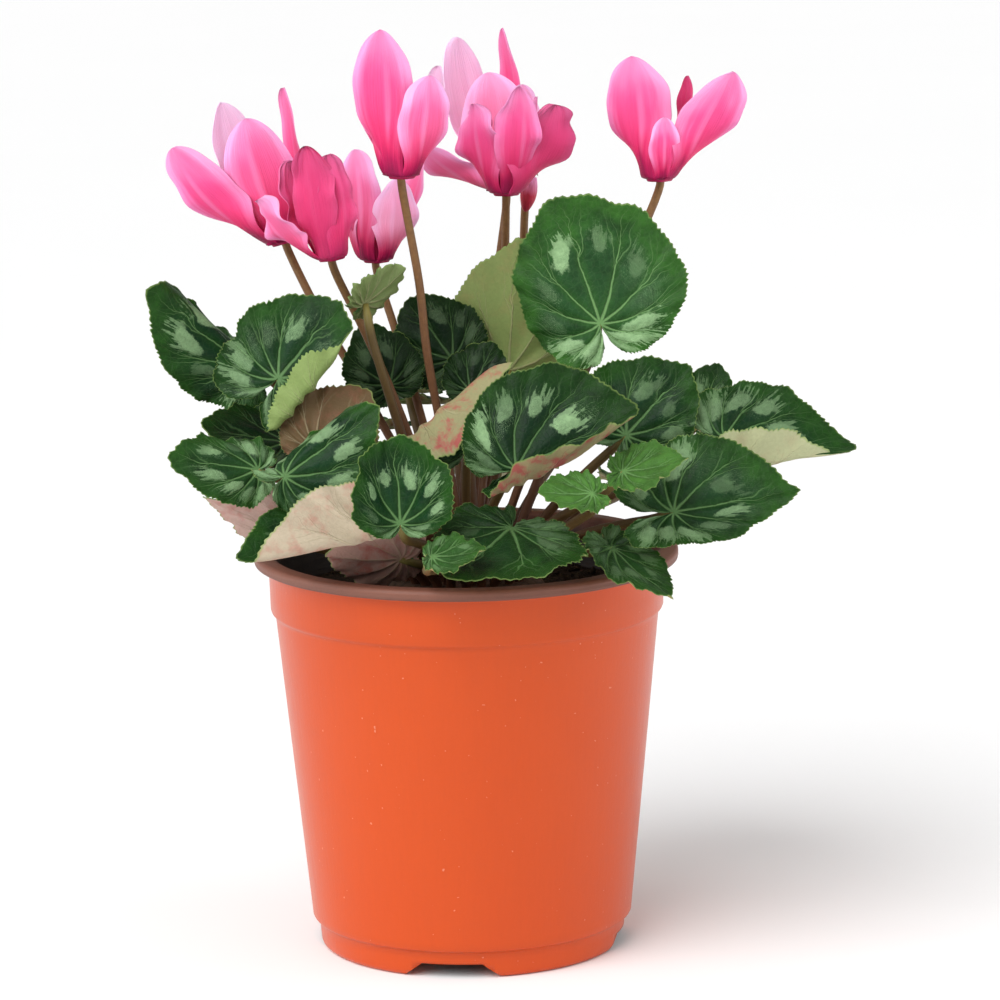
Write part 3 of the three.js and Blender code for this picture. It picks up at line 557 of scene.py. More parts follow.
def heart(angle, leaf):
    """Distance from the joint to the margin, as a share of the blade's length."""
    tip = leaf.point * np.exp(-np.abs(angle) / POINT_SPREAD)
    cleft = CLEFT_DEPTH * np.exp(-(((math.pi - np.abs(angle)) / CLEFT_SPREAD) ** 2))
    disc = (0.5 + 0.17 * np.cos(angle) + 0.03 * np.cos(2 * angle)) * (1 - leaf.point)
    lobe = 1 + (leaf.lobes - 1) * np.maximum(0, -np.cos(angle))
    return (disc / (1 - PLAIN_POINT) + tip) * lobe * (1 - cleft)


def curled(x, y, z, curl, length):
    """Rolls what lies past a line across the blade, as the part's source does."""
    toward, start, radius, turn = curl
    nx, ny = math.sin(math.radians(toward)), math.cos(math.radians(toward))
    past = x * nx + y * ny - start * length
    side = math.copysign(1, turn)
    turned = np.minimum(np.maximum(past, 0) / radius, math.radians(abs(turn)))
    straight = past - turned * radius
    lift = z * side
    moved = radius * np.sin(turned) + straight * np.cos(turned) - lift * np.sin(turned) - past
    risen = radius * (1 - np.cos(turned)) + straight * np.sin(turned) + lift * np.cos(turned)
    beyond = past > 0
    return (
        np.where(beyond, x + moved * nx, x),
        np.where(beyond, y + moved * ny, y),
        np.where(beyond, risen * side, z),
    )


def blade_points(leaf, share, angle, offset, depth):
    """Points of the blade, their places on the flat blade and their distances from the joint."""
    waver = 0.016 * np.sin(9 * angle + leaf.length) + 0.01 * np.sin(17 * angle + 2 * leaf.length)
    blunt = BLUNTING * np.exp(-((angle / BLUNT_SPREAD) ** 2))
    reach = heart(angle, leaf) * (0.98 - blunt + waver * step(share, 0.5, 1))
    count = angle / (2 * math.pi) * leaf.teeth
    uneven = 0.4 + 1.1 * ((np.sin(np.floor(count) * 12.99 + leaf.length) * 437.6) % 1)
    saw = np.abs((count % 1) * 2 - 1) ** TOOTH_SHARPNESS
    edge = step(share, TEETH_START, 1.0)
    r = leaf.length * reach * share - depth * uneven * saw * edge
    width = np.where(angle < 0, leaf.halves[0], leaf.halves[1]) * BREADTH
    wave = WAVE * leaf.length * share**2.5 * np.sin(5 * angle)
    ruffle = FINE_RUFFLE * share**6 * np.sin(23 * angle + leaf.length)
    ruffle = ruffle + BROAD_RUFFLE * share**5 * np.sin(13 * angle)
    lane = vein_lane(share, angle)
    hollow = np.exp(-(((np.abs(lane - np.round(lane)) * VEIN_LANE * r) / VEIN_WIDTH) ** 2))
    bulge = np.cos(2 * math.pi * lane) * np.sin(math.pi * np.clip(share, 0, 1)) ** 1.5
    quilt = (-VEIN_HOLLOW * hollow - LANE_BULGE * bulge) * step(share, 0.05, 0.3)
    x, y = r * width * np.sin(angle), r * np.cos(angle)
    flat = np.stack([x, y, np.full_like(x, leaf.length)], 1)
    z = offset + leaf.cup * leaf.length * share * share + wave + ruffle + quilt
    for curl in leaf.curls:
        x, y, z = curled(x, y, z, curl, leaf.length)
    points = leaf.joint + np.outer(x, leaf.across) + np.outer(y, leaf.along) + np.outer(z, leaf.face)
    return points, flat, r


def vein_lane(share, angle):
    """Counts the lanes between main veins, which bend towards the tip as they run out."""
    return angle / VEIN_LANE * (1 + 0.35 * (share - 0.25))


# How many of a margin's steps one step of a ring stands for, and where those rings lie.
BLADE_RINGS = (
    (4, (0.02, 0.07, 0.13, 0.2, 0.27, 0.34, 0.41, 0.48)),
    (2, (0.54, 0.6, 0.66, 0.72, 0.77, 0.82, 0.86)),
    (1, (0.89, 0.92, 0.945, 0.965, 0.982, 1.0)),
)
# The places of a leaf's materials in its list.
UPPER, UNDER, STALK = range(3)
LEAF_STALK_SIDES = 10


def build_blade(shape, leaf, settings):
    """Both faces of a blade and the thin edge between them."""
    steps = 4 * leaf.teeth
    open_angle = math.pi - CLEFT_HALF
    half = settings.blade_thickness / MM / 2
    starts = []
    for side in (1, -1):
        share, angle, rings = [np.zeros(1)], [np.zeros(1)], []
        count = 1
        for coarse, shares in BLADE_RINGS:
            for value in shares:
                n = steps // coarse
                rings.append((count, n))
                share.append(np.full(n + 1, value))
                angle.append(np.linspace(-open_angle, open_angle, n + 1))
                count += n + 1
        share, angle = np.concatenate(share), np.concatenate(angle)
        thick = half * (1 - 0.6 * step(share, 0.8, 1.0))
        depth = settings.tooth_depth / MM
        points, flat, r = blade_points(leaf, share, angle, side * thick, depth)
        faces = [(0, rings[0][0] + i + 1, rings[0][0] + i) for i in range(rings[0][1])]
        for (near, n), (far, m) in zip(rings, rings[1:]):
            faces += strip_faces(near, far, n) if m == n else doubling_faces(near, far, n)
        starts.append(shape.count)
        shape.add(
            points, faces, UPPER if side > 0 else UNDER, plane=flat, tint=leaf.under,
            share=share, sweep=angle, reach=r, silver=leaf.silver, lime=leaf.lime,
            flush=leaf.flush, tone=leaf.tone, seed=leaf.length,
        )
    border = [0] + [near for near, _ in rings]
    border += [rings[-1][0] + i for i in range(1, rings[-1][1] + 1)]
    border += [near + n for near, n in reversed(rings[:-1])]
    shape.close(*starts, border)


def build_leaf_stalk(shape, leaf, settings):
    line = stalk_line("leaf_" + leaf.name)
    line = [p for p in line if np.linalg.norm(p - leaf.joint) > 3]
    line = smooth_line([*line, leaf.joint - 0.35 * leaf.face], 5)
    radius = settings.stalk_radius / MM
    spread = np.linspace(0, 1, len(line))
    radii = radius * (1 + 0.12 * (1 - spread) - 0.3 * step(spread, 0.93, 1))
    tube(shape, line, radii, LEAF_STALK_SIDES, STALK, seed=leaf.length)


def leaf_veins(paint):
    """Masks of the main veins, their forks and the fine net, with the lanes between the veins."""
    share, sweep, reach = (paint.attribute(name) for name in ("share", "sweep", "reach"))
    flat = paint.attribute("plane", "Vector")
    seed = paint.attribute("seed")
    wander = paint.noise(flat, 0.11, 1.0) - 0.5
    jitter = paint.noise(flat, 0.5, 1.0) - 0.5
    lane = sweep * (1 / VEIN_LANE) * (1 + 0.35 * (share - 0.25))
    lane = lane + wander * share * 0.7 + jitter * 0.07
    index = lane.maths("ROUND")
    off = lane - index
    across = reach * VEIN_LANE
    main_width = 0.5 - share * 0.4
    main = 1 - paint.rise(abs(off) * across / main_width, 0.35, 1.25)
    luck = paint.luck(index * 7.13 + off.maths("SIGN") * 3.1 + seed)
    forks = None
    for start, spread, width in ((0.38, 0.4, 0.3), (0.6, 0.3, 0.2)):
        begin = start + luck * 0.16
        grown = (share - begin) / (1 - begin)
        line = grown.maths("MAXIMUM", 0.0) ** 0.8 * spread
        gap = abs(abs(off) - line) * across
        fork = (1 - paint.rise(gap, width * 0.3, width)) * paint.rise(grown, 0.0, 0.02)
        fork = fork * (1 - paint.rise(grown, 0.45, 1.0) * 0.8)
        forks = fork if forks is None else forks.maths("MAXIMUM", fork)
    net = 1 - paint.rise(paint.cells(flat, 0.6), 0.02, 0.11)
    fade = 1 - paint.rise(share, 0.6, 0.97) * 0.85
    return {
        "share": share, "sweep": sweep, "reach": reach, "flat": flat, "seed": seed, "lane": lane,
        "gap": abs(off) * across, "main": main * fade, "forks": forks * fade, "net": net,
    }


def silver_patches(paint, veins):
    """Uneven blotches between the veins, smooth on the inner side and ragged on the outer."""
    share, lane, seed, reach = (veins[name] for name in ("share", "lane", "seed", "reach"))
    index = (lane + 0.5).maths("ROUND")
    aside = (lane + 0.5 - index) * reach * VEIN_LANE
    luck = paint.luck(index * 3.7 + seed * 1.7)
    other = paint.luck(index * 5.3 + seed * 2.9)
    middle = 0.5 + luck * 0.2
    out = (share - middle) * reach / share
    size = seed * (0.065 + other * 0.05)
    streaks = paint.noise(paint.joined(veins["sweep"] * 20, share * 2.6, seed), 1.0, 3.0, 0.65) - 0.5
    blots = paint.noise(veins["flat"], 0.42, 4.0, 0.68) - 0.5
    spread = ((aside * aside * 1.5 + out * out) / (size * size)) ** 0.5
    body = 1 - paint.rise(spread + blots * 1.4, 0.75, 1.05)
    fingers = 1 - paint.rise(spread * 0.5 + blots * 1.5 - streaks * 2.4, 0.5, 0.72)
    fingers = fingers * paint.rise(out, -0.5, 1.5)
    shape = body.maths("MAXIMUM", fingers * 0.75)
    return shape * paint.rise(other, 0.1, 0.55) * (0.85 + blots * 1.1)


def paint_leaf_top(settings):
    paint = Paint("leaf_upper_side", {"Specular IOR Level": 0.1})
    veins = leaf_veins(paint)
    share = veins["share"]
    coarse = paint.noise(veins["flat"], 0.14, 3.0)
    fine = paint.noise(veins["flat"], 1.4, 3.0, 0.65)
    mottle = paint.noise(veins["flat"], 0.34, 3.0, 0.6)
    toward_margin = paint.rise(share + (coarse - 0.5) * 0.6, 0.5, 1.0)
    base = paint.blend(toward_margin, settings.centre_colour, settings.margin_colour)
    beside = 1 - paint.rise(veins["gap"], 0.4, 2.6)
    base = paint.blend(beside * 0.4, base, settings.margin_colour)
    base = paint.blend(paint.attribute("lime"), base, settings.lime_colour)
    # The leaf's tone darkens or lightens the upper side: partly its own green, partly painted shade
    # on the inner leaves deep in the plant.
    tone = paint.attribute("tone")
    uneven = coarse * 1.2 + mottle + fine * 0.35 - 0.3
    base = paint.shade(base, uneven.maths("MAXIMUM", 0.15) * tone)
    silver = silver_patches(paint, veins) * paint.attribute("silver")
    base = paint.blend(silver * (0.6 + fine * 0.4), base, settings.silver_colour)
    lines = veins["main"].maths("MAXIMUM", veins["forks"] * 0.6)
    lines = lines.maths("MAXIMUM", veins["net"] * 0.05) * (0.05 + tone * 0.4)
    base = paint.blend(lines.maths("MINIMUM", 0.9), base, settings.vein_colour)
    rim = paint.rise(share + (fine - 0.5) * 0.02, 0.98, 0.995)
    base = paint.blend(rim * (0.1 + coarse * 0.8), base, settings.edge_colour)
    height = (fine * 0.25 + coarse * 0.5) - veins["main"] * 0.8 - veins["forks"] * 0.55
    rough = 0.27 + fine * 0.16 + silver * 0.14
    height = height - veins["net"] * 0.12
    return paint.finish(base, rough, height, 0.4 * MM)


def paint_leaf_under(settings):
    paint = Paint("leaf_under_side", {"Specular IOR Level": 0.2})
    veins = leaf_veins(paint)
    share = veins["share"]
    blots = paint.noise(veins["flat"], 0.17, 3.0, 0.6)
    fine = paint.noise(veins["flat"], 1.2, 3.0, 0.65)
    flush = paint.rise(blots + fine * 0.2, 0.55, 0.8) * paint.attribute("flush")
    base = paint.blend(flush, paint.attribute("tint", "Color"), settings.flush_colour)
    base = paint.shade(base, 0.82 + fine * 0.34)
    lines = (veins["main"] * 0.3).maths("MAXIMUM", veins["forks"] * 0.14)
    base = paint.blend(lines, base, settings.under_vein_colour)
    base = paint.blend(paint.rise(share, 0.97, 0.992) * 0.7, base, settings.edge_colour)
    height = veins["main"] + veins["forks"] * 0.5 + veins["net"] * 0.12 + fine * 0.3
    return paint.finish(base, 0.5 + fine * 0.15, height, 0.22 * MM)


def paint_stalk(name, settings):
    """Stalk skin: a colour that changes from the tuber to the far end, with fine lengthwise lines."""
    paint = Paint(name, {"Specular IOR Level": 0.25})
    share, sweep = paint.attribute("share"), paint.attribute("sweep")
    lines = paint.noise(paint.joined(sweep * 2.2, share * 7.0, paint.attribute("seed")), 1.6, 3.0)
    fine = paint.noise(paint.place(), 0.9, 3.0, 0.6)
    upward = paint.rise(share + (fine - 0.5) * 0.3, 0.25, 0.8)
    base = paint.blend(upward, settings.stalk_low_colour, settings.stalk_high_colour)
    base = paint.blend(paint.rise(share, 0.86, 1.0), base, settings.stalk_tip_colour)
    base = paint.shade(base, 0.66 + lines * 0.45 + fine * 0.25)
    return paint.finish(base, 0.36 + fine * 0.2, lines * 0.5 + fine * 0.6, 0.2 * MM)


# Blooms. The table says what the part's own source says: the mouth that looks down, the way the
# bloom stands, and a row for each petal with its direction, lean, length, width and twist. A row
# ends with how pale and how deep in colour the petal is.

# How far in or out of the bloom each petal lies at its foot, so that their edges pass.
LAYERS = (-0.35, 0.35, -0.35, 0.35, 0)


class Bloom:
    def __init__(self, name, mouth, up, *petals, frill=0.5, layers=LAYERS):
        self.name = name
        self.mouth = np.array(mouth, float)
        self.up = normalised(up)
        right = np.array([1.0, 0, 0])
        self.right = normalised(right - self.up * self.up[0])
        self.back = np.cross(self.up, self.right)
        self.petals = petals
        self.frill = frill
        self.layers = layers

    def place(self, local):
        local = np.asarray(local, float)
        return self.mouth + local @ np.stack([self.right, self.back, self.up])


BLOOMS = [
    Bloom(
        "bloom_left", (-50, 14, 200.5), (-0.3, 0.05, 1),
        (141, 2, 44.5, 16, 12, 0.8, 0),
        (200, 27, 41, 17, -62, 0, 0.1),
        (275, 3, 38.5, 20, 5, 0.04, 0.04),
        (335, 0, 26, 13, 40, 0.1, 0),
        (44, 17, 44.5, 13, 20, 0, 0.3),
    ),
    Bloom(
        "bloom_left_front", (-36, -10, 199), (-0.12, 0, 1),
        (140, 12, 30, 12, 20, 0, 0.55),
        (203, 36, 26, 10, -40, 0.1, 0.15),
        (250, 3, 34.5, 13, -15, 0, 0.8),
        (302, 0, 31, 12, 25, 0, 0.6),
        (42, -4, 29, 11, 26, 0, 0.6),
        frill=1.6,
    ),
    Bloom(
        "bloom_inner_left", (-24, 16, 194.5), (0, 0, 1),
        (142, 10, 28, 12, 16, 0.3, 0),
        (180, 6, 30, 12, -30, 0.2, 0),
        (225, 3, 34, 13, -45, 0.1, 0),
        (315, 10, 26, 13, 45, 0.4, 0),
        (38, 24, 33, 13, 15, 0.1, 0.2),
    ),
    Bloom(
        "bloom_tall", (-16, -14, 222), (0, 0, 1),
        (138, 8, 36, 14, 20, 0.3, 0),
        (182, 2, 36, 12, -60, 0.2, 0),
        (226, 2.5, 43, 17, -42, 0, 0.12),
        (316, 13, 31, 14.5, 42, 0.06, 0),
        (38, 17, 32.5, 15, 10, 0.75, 0),
    ),
    Bloom(
        "bloom_centre_back", (13, 47, 210), (-0.09, 0, 1),
        (138, 10, 47, 16, 20, 0.75, 0),
        (200, 52, 27, 16, -50, 0.1, 0.1),
        (262, 5, 37, 21, 0, 0.2, 0),
        (334, 6, 32, 14, 40, 0.2, 0),
        (42, 0, 48, 15, 20, 0, 0.3),
    ),
    Bloom(
        "bloom_centre_front", (13, 19, 212.5), (0, 0, 1),
        (143, 9, 26, 12, 14, 0.1, 0.3),
        (215, 12, 28.5, 13, -40, 0, 0.2),
        (290, 12, 34, 13, 30, 0, 0.2),
        (335, 23, 29.5, 20, 60, 0, 0.65),
        (40, 15, 29, 12, 25, 0, 0.3),
        frill=1.5,
    ),
    Bloom(
        "bloom_right", (56, 10, 217), (0, 0, 1),
        (142, 3, 28, 9, 12, 0, 0.9),
        (207, 5, 37, 18.5, -60, 0, 0.12),
        (280, 8, 20, 9, 15, 0, 0.0),
        (338, 30, 37, 18, 65, 0, 0.1),
        (36, 11, 30.5, 10, 12, 0, 0.9),
        layers=(0.3, -0.35, 0.6, -0.35, 0.3),
    ),
]
BUD = Bloom("bud_centre", (18.5, 31, 205), (0.2, 0, 1))
TUBE_RADIUS = 3.9
TUBE_LENGTH = 5.5
# How much further than a bloom's tube the bud reaches up to its calyx.
BUD_LIFT = 5.0
BUD_RADIUS = 2.4
BUD_TOP = TUBE_LENGTH + BUD_LIFT
BUD_PROFILE = (
    (0, 0), (0.5, 0.2), (1.0, 0.8), (1.5, 1.7), (1.95, 2.9), (2.25, 4.0), (BUD_RADIUS, 5.2),
    (2.38, 6.4), (2.2, 7.7), (1.95, 9.0), (1.5, BUD_TOP - 0.2), (0, BUD_TOP),
)
BLOOM_CALYX = 2.6
BUD_CALYX = BUD_RADIUS * 0.75
# A petal leaves the mouth a little downwards, turns up on a small circle and then bows.
TURN_RADIUS = 2.0
MOUTH_DIP = 0.3
PETAL_BOW = math.radians(12)
PETAL_TRIM = 0.994
# How far aside of a bloom, and of the bud, its stalk comes up before the hook.
STEM_OUTSIDE = 7.2
BUD_OUTSIDE = 4.6
# The space between the calyx on a stalk and the bloom below it.
CLEAR = 0.3
PETAL_ROWS = 34
PETAL_COLUMNS = 18
FLOWER_STALK_SIDES = 12


def petal_middle(length, lean, share):
    """How far out and up a petal's middle line is, and how it slopes there."""
    turn = math.pi / 2 + MOUTH_DIP - lean - PETAL_BOW
    s = share * length
    turned = np.minimum(s / TURN_RADIUS, turn)
    slope = -MOUTH_DIP + turned
    out = TUBE_RADIUS - 1 + TURN_RADIUS * (np.sin(slope) + math.sin(MOUTH_DIP))
    rise = TURN_RADIUS * (math.cos(MOUTH_DIP) - np.cos(slope))
    rest = length - turn * TURN_RADIUS
    t = np.maximum(0, s - turn * TURN_RADIUS) / rest
    tilt = lean + PETAL_BOW * (1 - 2 * t)
    chord = rest / (2 * PETAL_BOW)
    out = out + chord * (np.cos(tilt) - math.cos(lean + PETAL_BOW))
    rise = rise + chord * (math.sin(lean + PETAL_BOW) - np.sin(tilt))
    return out, rise, np.where(t > 0, math.pi / 2 - tilt, slope)


def petal_half(share, width):
    opening = 0.48 + 0.52 * step(share, 0.1, 0.56)
    rounding = np.maximum(0, 1 - (np.maximum(0, share - 0.52) / 0.481) ** 2.1) ** 0.6
    return width / 2 * opening * rounding


def build_petal(shape, bloom, number, settings):
    toward, lean, length, width, twist, pale, deep = bloom.petals[number]
    heading, lean = math.radians(toward), math.radians(lean)
    rows, columns = PETAL_ROWS, PETAL_COLUMNS
    wide = columns + 1
    share = np.repeat(1 - (1 - np.linspace(0, 1, rows + 1)) ** 1.25, wide)
    across = np.tile(np.sin(np.linspace(-math.pi / 2, math.pi / 2, wide)), rows + 1)
    out, rise, slope = petal_middle(length * PETAL_TRIM, lean, share)
    seed = bloom.mouth[0] * 0.37 + number * 1.9
    uneven = 1 + 0.08 * math.sin(seed * 3.1) * across * step(share, 0.4, 0.8)
    half = petal_half(share, width) * uneven
    upper = step(share, 0.2, 0.6)
    rippled = np.sin(11 * share + seed + 2 * np.sign(across)) + 0.5 * np.sin(23 * share - seed)
    pleats = np.sin(17 * across + 3 * math.sin(seed)) * step(share, 0.55, 1) * (0.2 + deep)
    ruffle = upper * bloom.frill * (across**2 * rippled + 0.45 * pleats)
    fold_place = 0.3 * math.sin(seed * 2.3)
    crease = -0.45 * np.exp(-(((across - fold_place) / 0.13) ** 2))
    crease = crease + 0.3 * np.exp(-(((across + 0.35 - fold_place) / 0.2) ** 2))
    crease = crease * step(share, 0.08, 0.4) * (1 - step(share, 0.7, 1))
    thick = settings.petal_thickness / MM / 2 * (1 - 0.6 * np.abs(across) ** 4)
    twist = math.radians(twist) * step(share, 0.15, 0.6)
    wrap = 0.35 * (1 - step(share, 0.12, 0.45))
    layer = bloom.layers[number] * step(share, 0.03, 0.15) * (1 - step(share, 0.6, 0.9))
    starts = []
    for side in (1, -1):
        lift = side * thick + ruffle + crease
        o = out - lift * np.sin(slope)
        z = rise + lift * np.cos(slope)
        hollow = -(0.2 + wrap) * half * across**2 * np.sin(np.maximum(0, slope))
        r = o + hollow + layer + across * half * np.sin(twist)
        aside = across * half * np.cos(twist)
        x, y = swung(r, aside, heading)
        faces = []
        for i in range(rows):
            faces += strip_faces(i * wide, (i + 1) * wide, columns)
        starts.append(shape.count)
        shape.add(
            bloom.place(np.stack([x, y, z], 1)), faces, share=share, sweep=across,
            reach=across - fold_place, pale=pale, deep=deep, seed=seed,
        )
    border = list(range(wide)) + [i * wide + columns for i in range(1, rows + 1)]
    border += [rows * wide + columns - i for i in range(1, columns + 1)]
    border += [i * wide for i in range(rows - 1, 0, -1)]
    shape.close(*starts, border)


TUBE_PROFILE = (
    (0, 5.5), (1.6, 5.5), (3.0, 5.3), (3.6, 4.6), (3.9, 3.8), (3.95, 2.2), (3.85, 0.8), (3.65, -0.5),
    (3.35, -0.95), (2.9, -1.0), (2.4, -0.7), (2.0, 0.2), (1.5, 1.3), (0.8, 2.2), (0, 2.6),
)


def build_corolla(shape, bloom):
    """The short tube with its five-lobed mouth."""

    def lobed(r, z, turns):
        return r * (1 + 0.07 * step(2.5 - z, 0, 3) * np.cos(5 * turns + 0.6))

    lathe(shape, TUBE_PROFILE, 40, 1, lobed, bloom.place)


SEPALS = 5
# The left and right edge of a sepal, its back and its hollow side: how far aside and how high.
SEPAL_SECTION = ((-1, 0), (0, 0.35), (1, 0), (0, -0.12))


def build_calyx(shape, bloom, low, radius):
    """Pointed sepals that hug the tube from above."""
    share = np.linspace(0, 1, 9)
    sides = len(SEPAL_SECTION)
    last = sides * (len(share) - 1)
    for k in range(SEPALS):
        heading = 2 * math.pi * (k + 0.5) / SEPALS
        points = []
        for t in share:
            out = radius * (0.18 + t)
            height = low + 1.3 - 1.15 * t**1.7
            width = radius * 0.62 * math.sqrt(1 - t**1.6) + 0.05
            for side, lift in SEPAL_SECTION:
                x, y = swung(out, side * width * 0.5, heading)
                points.append((x, y, height + lift * (1 - 0.7 * t)))
        faces = ring_faces(0, len(share), sides)
        faces += [tuple(range(sides)), tuple(last + i for i in reversed(range(sides)))]
        shape.add(bloom.place(points), faces, 1, share=np.repeat(share, sides))


def hook_points(bloom, side, lift):
    """The hook at the top of a flower's stalk, from below the bloom's back over to its tube."""
    hook = [(0, side, -5), (0, side, 1.5), (0, side * 0.96, 6.5), (0, side * 0.74, 10)]
    hook += [(0, side * 0.38, 11.3), (0, side * 0.09, 10), (0, 0, TUBE_LENGTH + CLEAR + 0.7)]
    return bloom.place(np.array(hook) + (0, 0, lift))


def build_flower_stalk(shape, bloom, side, lift, calyx, settings):
    hook = hook_points(bloom, side, lift)
    line = stalk_line("stalk_of_" + bloom.name)
    line = [p for p in line if np.linalg.norm(hook - p, axis=1).min() > 0.5]
    line = [p for p in line if np.dot(p - hook[0], bloom.up) < 0]
    line = smooth_line([*line, *hook], 6)
    spread = np.linspace(0, 1, len(line))
    radius = settings.stalk_radius / MM
    radii = radius * (1.08 - 0.12 * spread - 0.12 * step(spread, 0.9, 1))
    tube(shape, line, radii, FLOWER_STALK_SIDES, 0, seed=bloom.mouth[0])
    build_calyx(shape, bloom, TUBE_LENGTH + CLEAR + lift, calyx)


def paint_petal(settings):
    """Deep at the foot, paler towards the edges, with fine lengthwise lines and a painted highlight
    along the crease.
    """
    constants = {"Specular IOR Level": 0.22, "Subsurface Weight": 0.15, "Subsurface Scale": 0.002}
    paint = Paint("petal", {**constants, "Subsurface Radius": (1.0, 0.35, 0.5)})
    share, across = paint.attribute("share"), paint.attribute("sweep")
    seed, pale, deep = (paint.attribute(name) for name in ("seed", "pale", "deep"))
    streaks = paint.noise(paint.joined(across * 4, share * 1.3, seed), 1.6, 3.0)
    lines = paint.noise(paint.joined(across * 24, share * 2.2, seed), 1.3, 2.0)
    blush = paint.noise(paint.joined(across * 1.6, share * 3.0, seed), 1.0, 1.0)
    drift = share + (streaks - 0.5) * 0.16 + (blush - 0.5) * 0.2 + across * across * 0.1
    stops = [
        (0.1, settings.mouth_colour),
        (0.185, settings.throat_colour),
        (0.275, settings.low_colour),
        (0.46, settings.middle_colour),
        (0.75, settings.petal_colour),
        (1.0, settings.petal_colour),
    ]
    base = paint.ramp(drift, stops)
    # A pale streak along the crease: a painted highlight where the fold catches the light.
    fold = 1 - paint.rise(abs(paint.attribute("reach")), 0.03, 0.16)
    fold = fold * paint.rise(share, 0.2, 0.45) * (1 - paint.rise(share, 0.65, 0.9))
    edge = paint.rise(abs(across) + (streaks - 0.5) * 0.5, 0.45, 1.05)
    edge = edge * paint.rise(share, 0.16, 0.5)
    top = paint.rise(share + (blush - 0.5) * 0.3 + abs(across) * 0.12, 0.68, 1.08) * 0.65
    light = (edge * 0.65 + top + fold * 0.25).maths("MINIMUM", 1.0)
    base = paint.blend(light * (1 - deep * 0.8), base, settings.edge_colour)
    base = paint.blend(pale * paint.rise(share, 0.15, 0.55), base, settings.pale_colour)
    base = paint.blend(deep * (0.75 + streaks * 0.4), base, settings.deep_colour)
    base = paint.shade(base, 0.88 + lines * 0.14 + streaks * 0.1)
    return paint.finish(base, 0.52 + lines * 0.12, lines * 0.7 + streaks * 0.5, 0.25 * MM)


def paint_mouth(settings):
    constants = {"Specular IOR Level": 0.35, "Subsurface Weight": 0.15, "Subsurface Scale": 0.0015}
    paint = Paint("bloom_mouth", constants)
    grain = paint.noise(paint.place(), 0.6, 3.0, 0.6)
    share = paint.attribute("share")
    inward = paint.rise(share + (grain - 0.5) * 0.1, 0.5, 0.62)
    base = paint.blend(inward, settings.throat_colour, settings.mouth_colour)
    base = paint.shade(base, 0.75 + grain * 0.5)
    return paint.finish(base, 0.42 + grain * 0.15, grain, 0.25 * MM)


def paint_calyx(settings):
    paint = Paint("calyx", {"Specular IOR Level": 0.4})
    grain = paint.noise(paint.place(), 0.9, 3.0, 0.6)
    base = paint.blend(paint.attribute("share"), settings.calyx_colour, settings.stalk_tip_colour)
    return paint.finish(paint.shade(base, 0.7 + grain * 0.6), 0.45 + grain * 0.2, grain, 0.2 * MM)


def paint_bud(settings):
    constants = {"Specular IOR Level": 0.35, "Subsurface Weight": 0.2, "Subsurface Scale": 0.0015}
    paint = Paint("bud", constants)
    share = paint.attribute("share")
    lines = paint.noise(paint.place((3, 3, 0.35)), 0.5, 2.0)
    stops = [(0.0, settings.bud_tip_colour), (0.55, settings.bud_colour), (1.0, settings.edge_colour)]
    base = paint.shade(paint.ramp(share + (lines - 0.5) * 0.3, stops), 0.8 + lines * 0.4)
    return paint.finish(base, 0.42 + lines * 0.15, lines, 0.25 * MM)


# Pot, compost and tuber. The profiles run from the axis round the outside: radius and height.

POT_PROFILE = (
    (0, 0), (20, 0), (41.4, 0), (42.4, 0.25), (43.1, 0.9), (43.4, 1.8), (43.55, 5.0), (43.6, 6.9),
    (43.9, 7.5), (44.7, 8.0), (45.3, 8.3), (45.6, 8.8), (45.75, 10.5), (50.0, 53.0), (54.2, 95.4),
    (54.35, 96.3), (54.8, 96.9), (55.4, 97.3), (55.62, 97.9), (55.75, 103.0), (56.0, 109.6),
    (56.3, 110.3), (57.0, 110.7), (59.3, 110.9), (59.85, 111.2), (60.0, 111.8), (59.9, 112.2),
    (60.0, 112.6), (59.95, 113.2), (59.6, 113.75), (59.0, 114.0), (57.6, 113.9), (56.2, 114.0),
    (55.3, 113.95), (54.7, 113.5), (54.4, 112.6), (54.3, 97.9), (54.0, 97.1), (53.1, 96.6),
    (52.95, 95.6), (44.4, 9.4), (43.2, 8.3), (42.2, 7.6), (42.0, 2.2), (41.0, 1.3), (0, 1.3),
)
POT_SIDES = 180
CHANNELS = 4
CHANNEL_TURN = -98
CHANNEL_HEIGHT = 4.2
CHANNEL_TOP = 8.5
CHANNEL_LOW = 14.0
CHANNEL_START = 15.0
CHANNEL_END = 48.0
ROOF_REACH = 42.9
# A small turn that keeps the edges of the core off those of the pot.
CORE_TURN = 1
WALL = 1.3
RIM_START = 110.95
DRAIN_RADIUS = 3.6
DRAIN_PLACE = 33.0
DRAIN_SIDES = 24
DRUM_LOW, DRUM_HIGH = -2, 12
COMPOST_SEED = 7
COMPOST_LEVEL = 99.5
COMPOST_SIDE = ((0, 7.6), (40.5, 7.6), (43.8, 11.5), (52.3, 96.4), (53.6, 98.2), (53.6, 99.2))
COMPOST_STEPS = 34
LUMPS = 60
LUMP_HEIGHT = 0.7
CRUMB_REACH = (26, 52)
CRUMB_SIZES = (0.5, 1.5)
TUBER_PROFILE = (
    (0, 80), (8, 80.6), (13.2, 82), (18.5, 84.5), (22.1, 88), (23.4, 92), (23.9, 96), (23.6, 99),
    (22.9, 102.3), (21.6, 104.6), (20, 105.6), (18, 105.8), (14, 105.6), (9, 105.2), (4, 105.0),
    (0, 105.0),
)


def middle_of_wall(z):
    """The radius half way through the pot's wall at that height."""
    if z < 8:
        return 42.8
    if z < 96.2:
        return 44.95 + (z - 8.8) * 0.0995
    return 54.1 if z < 97.3 else 54.95


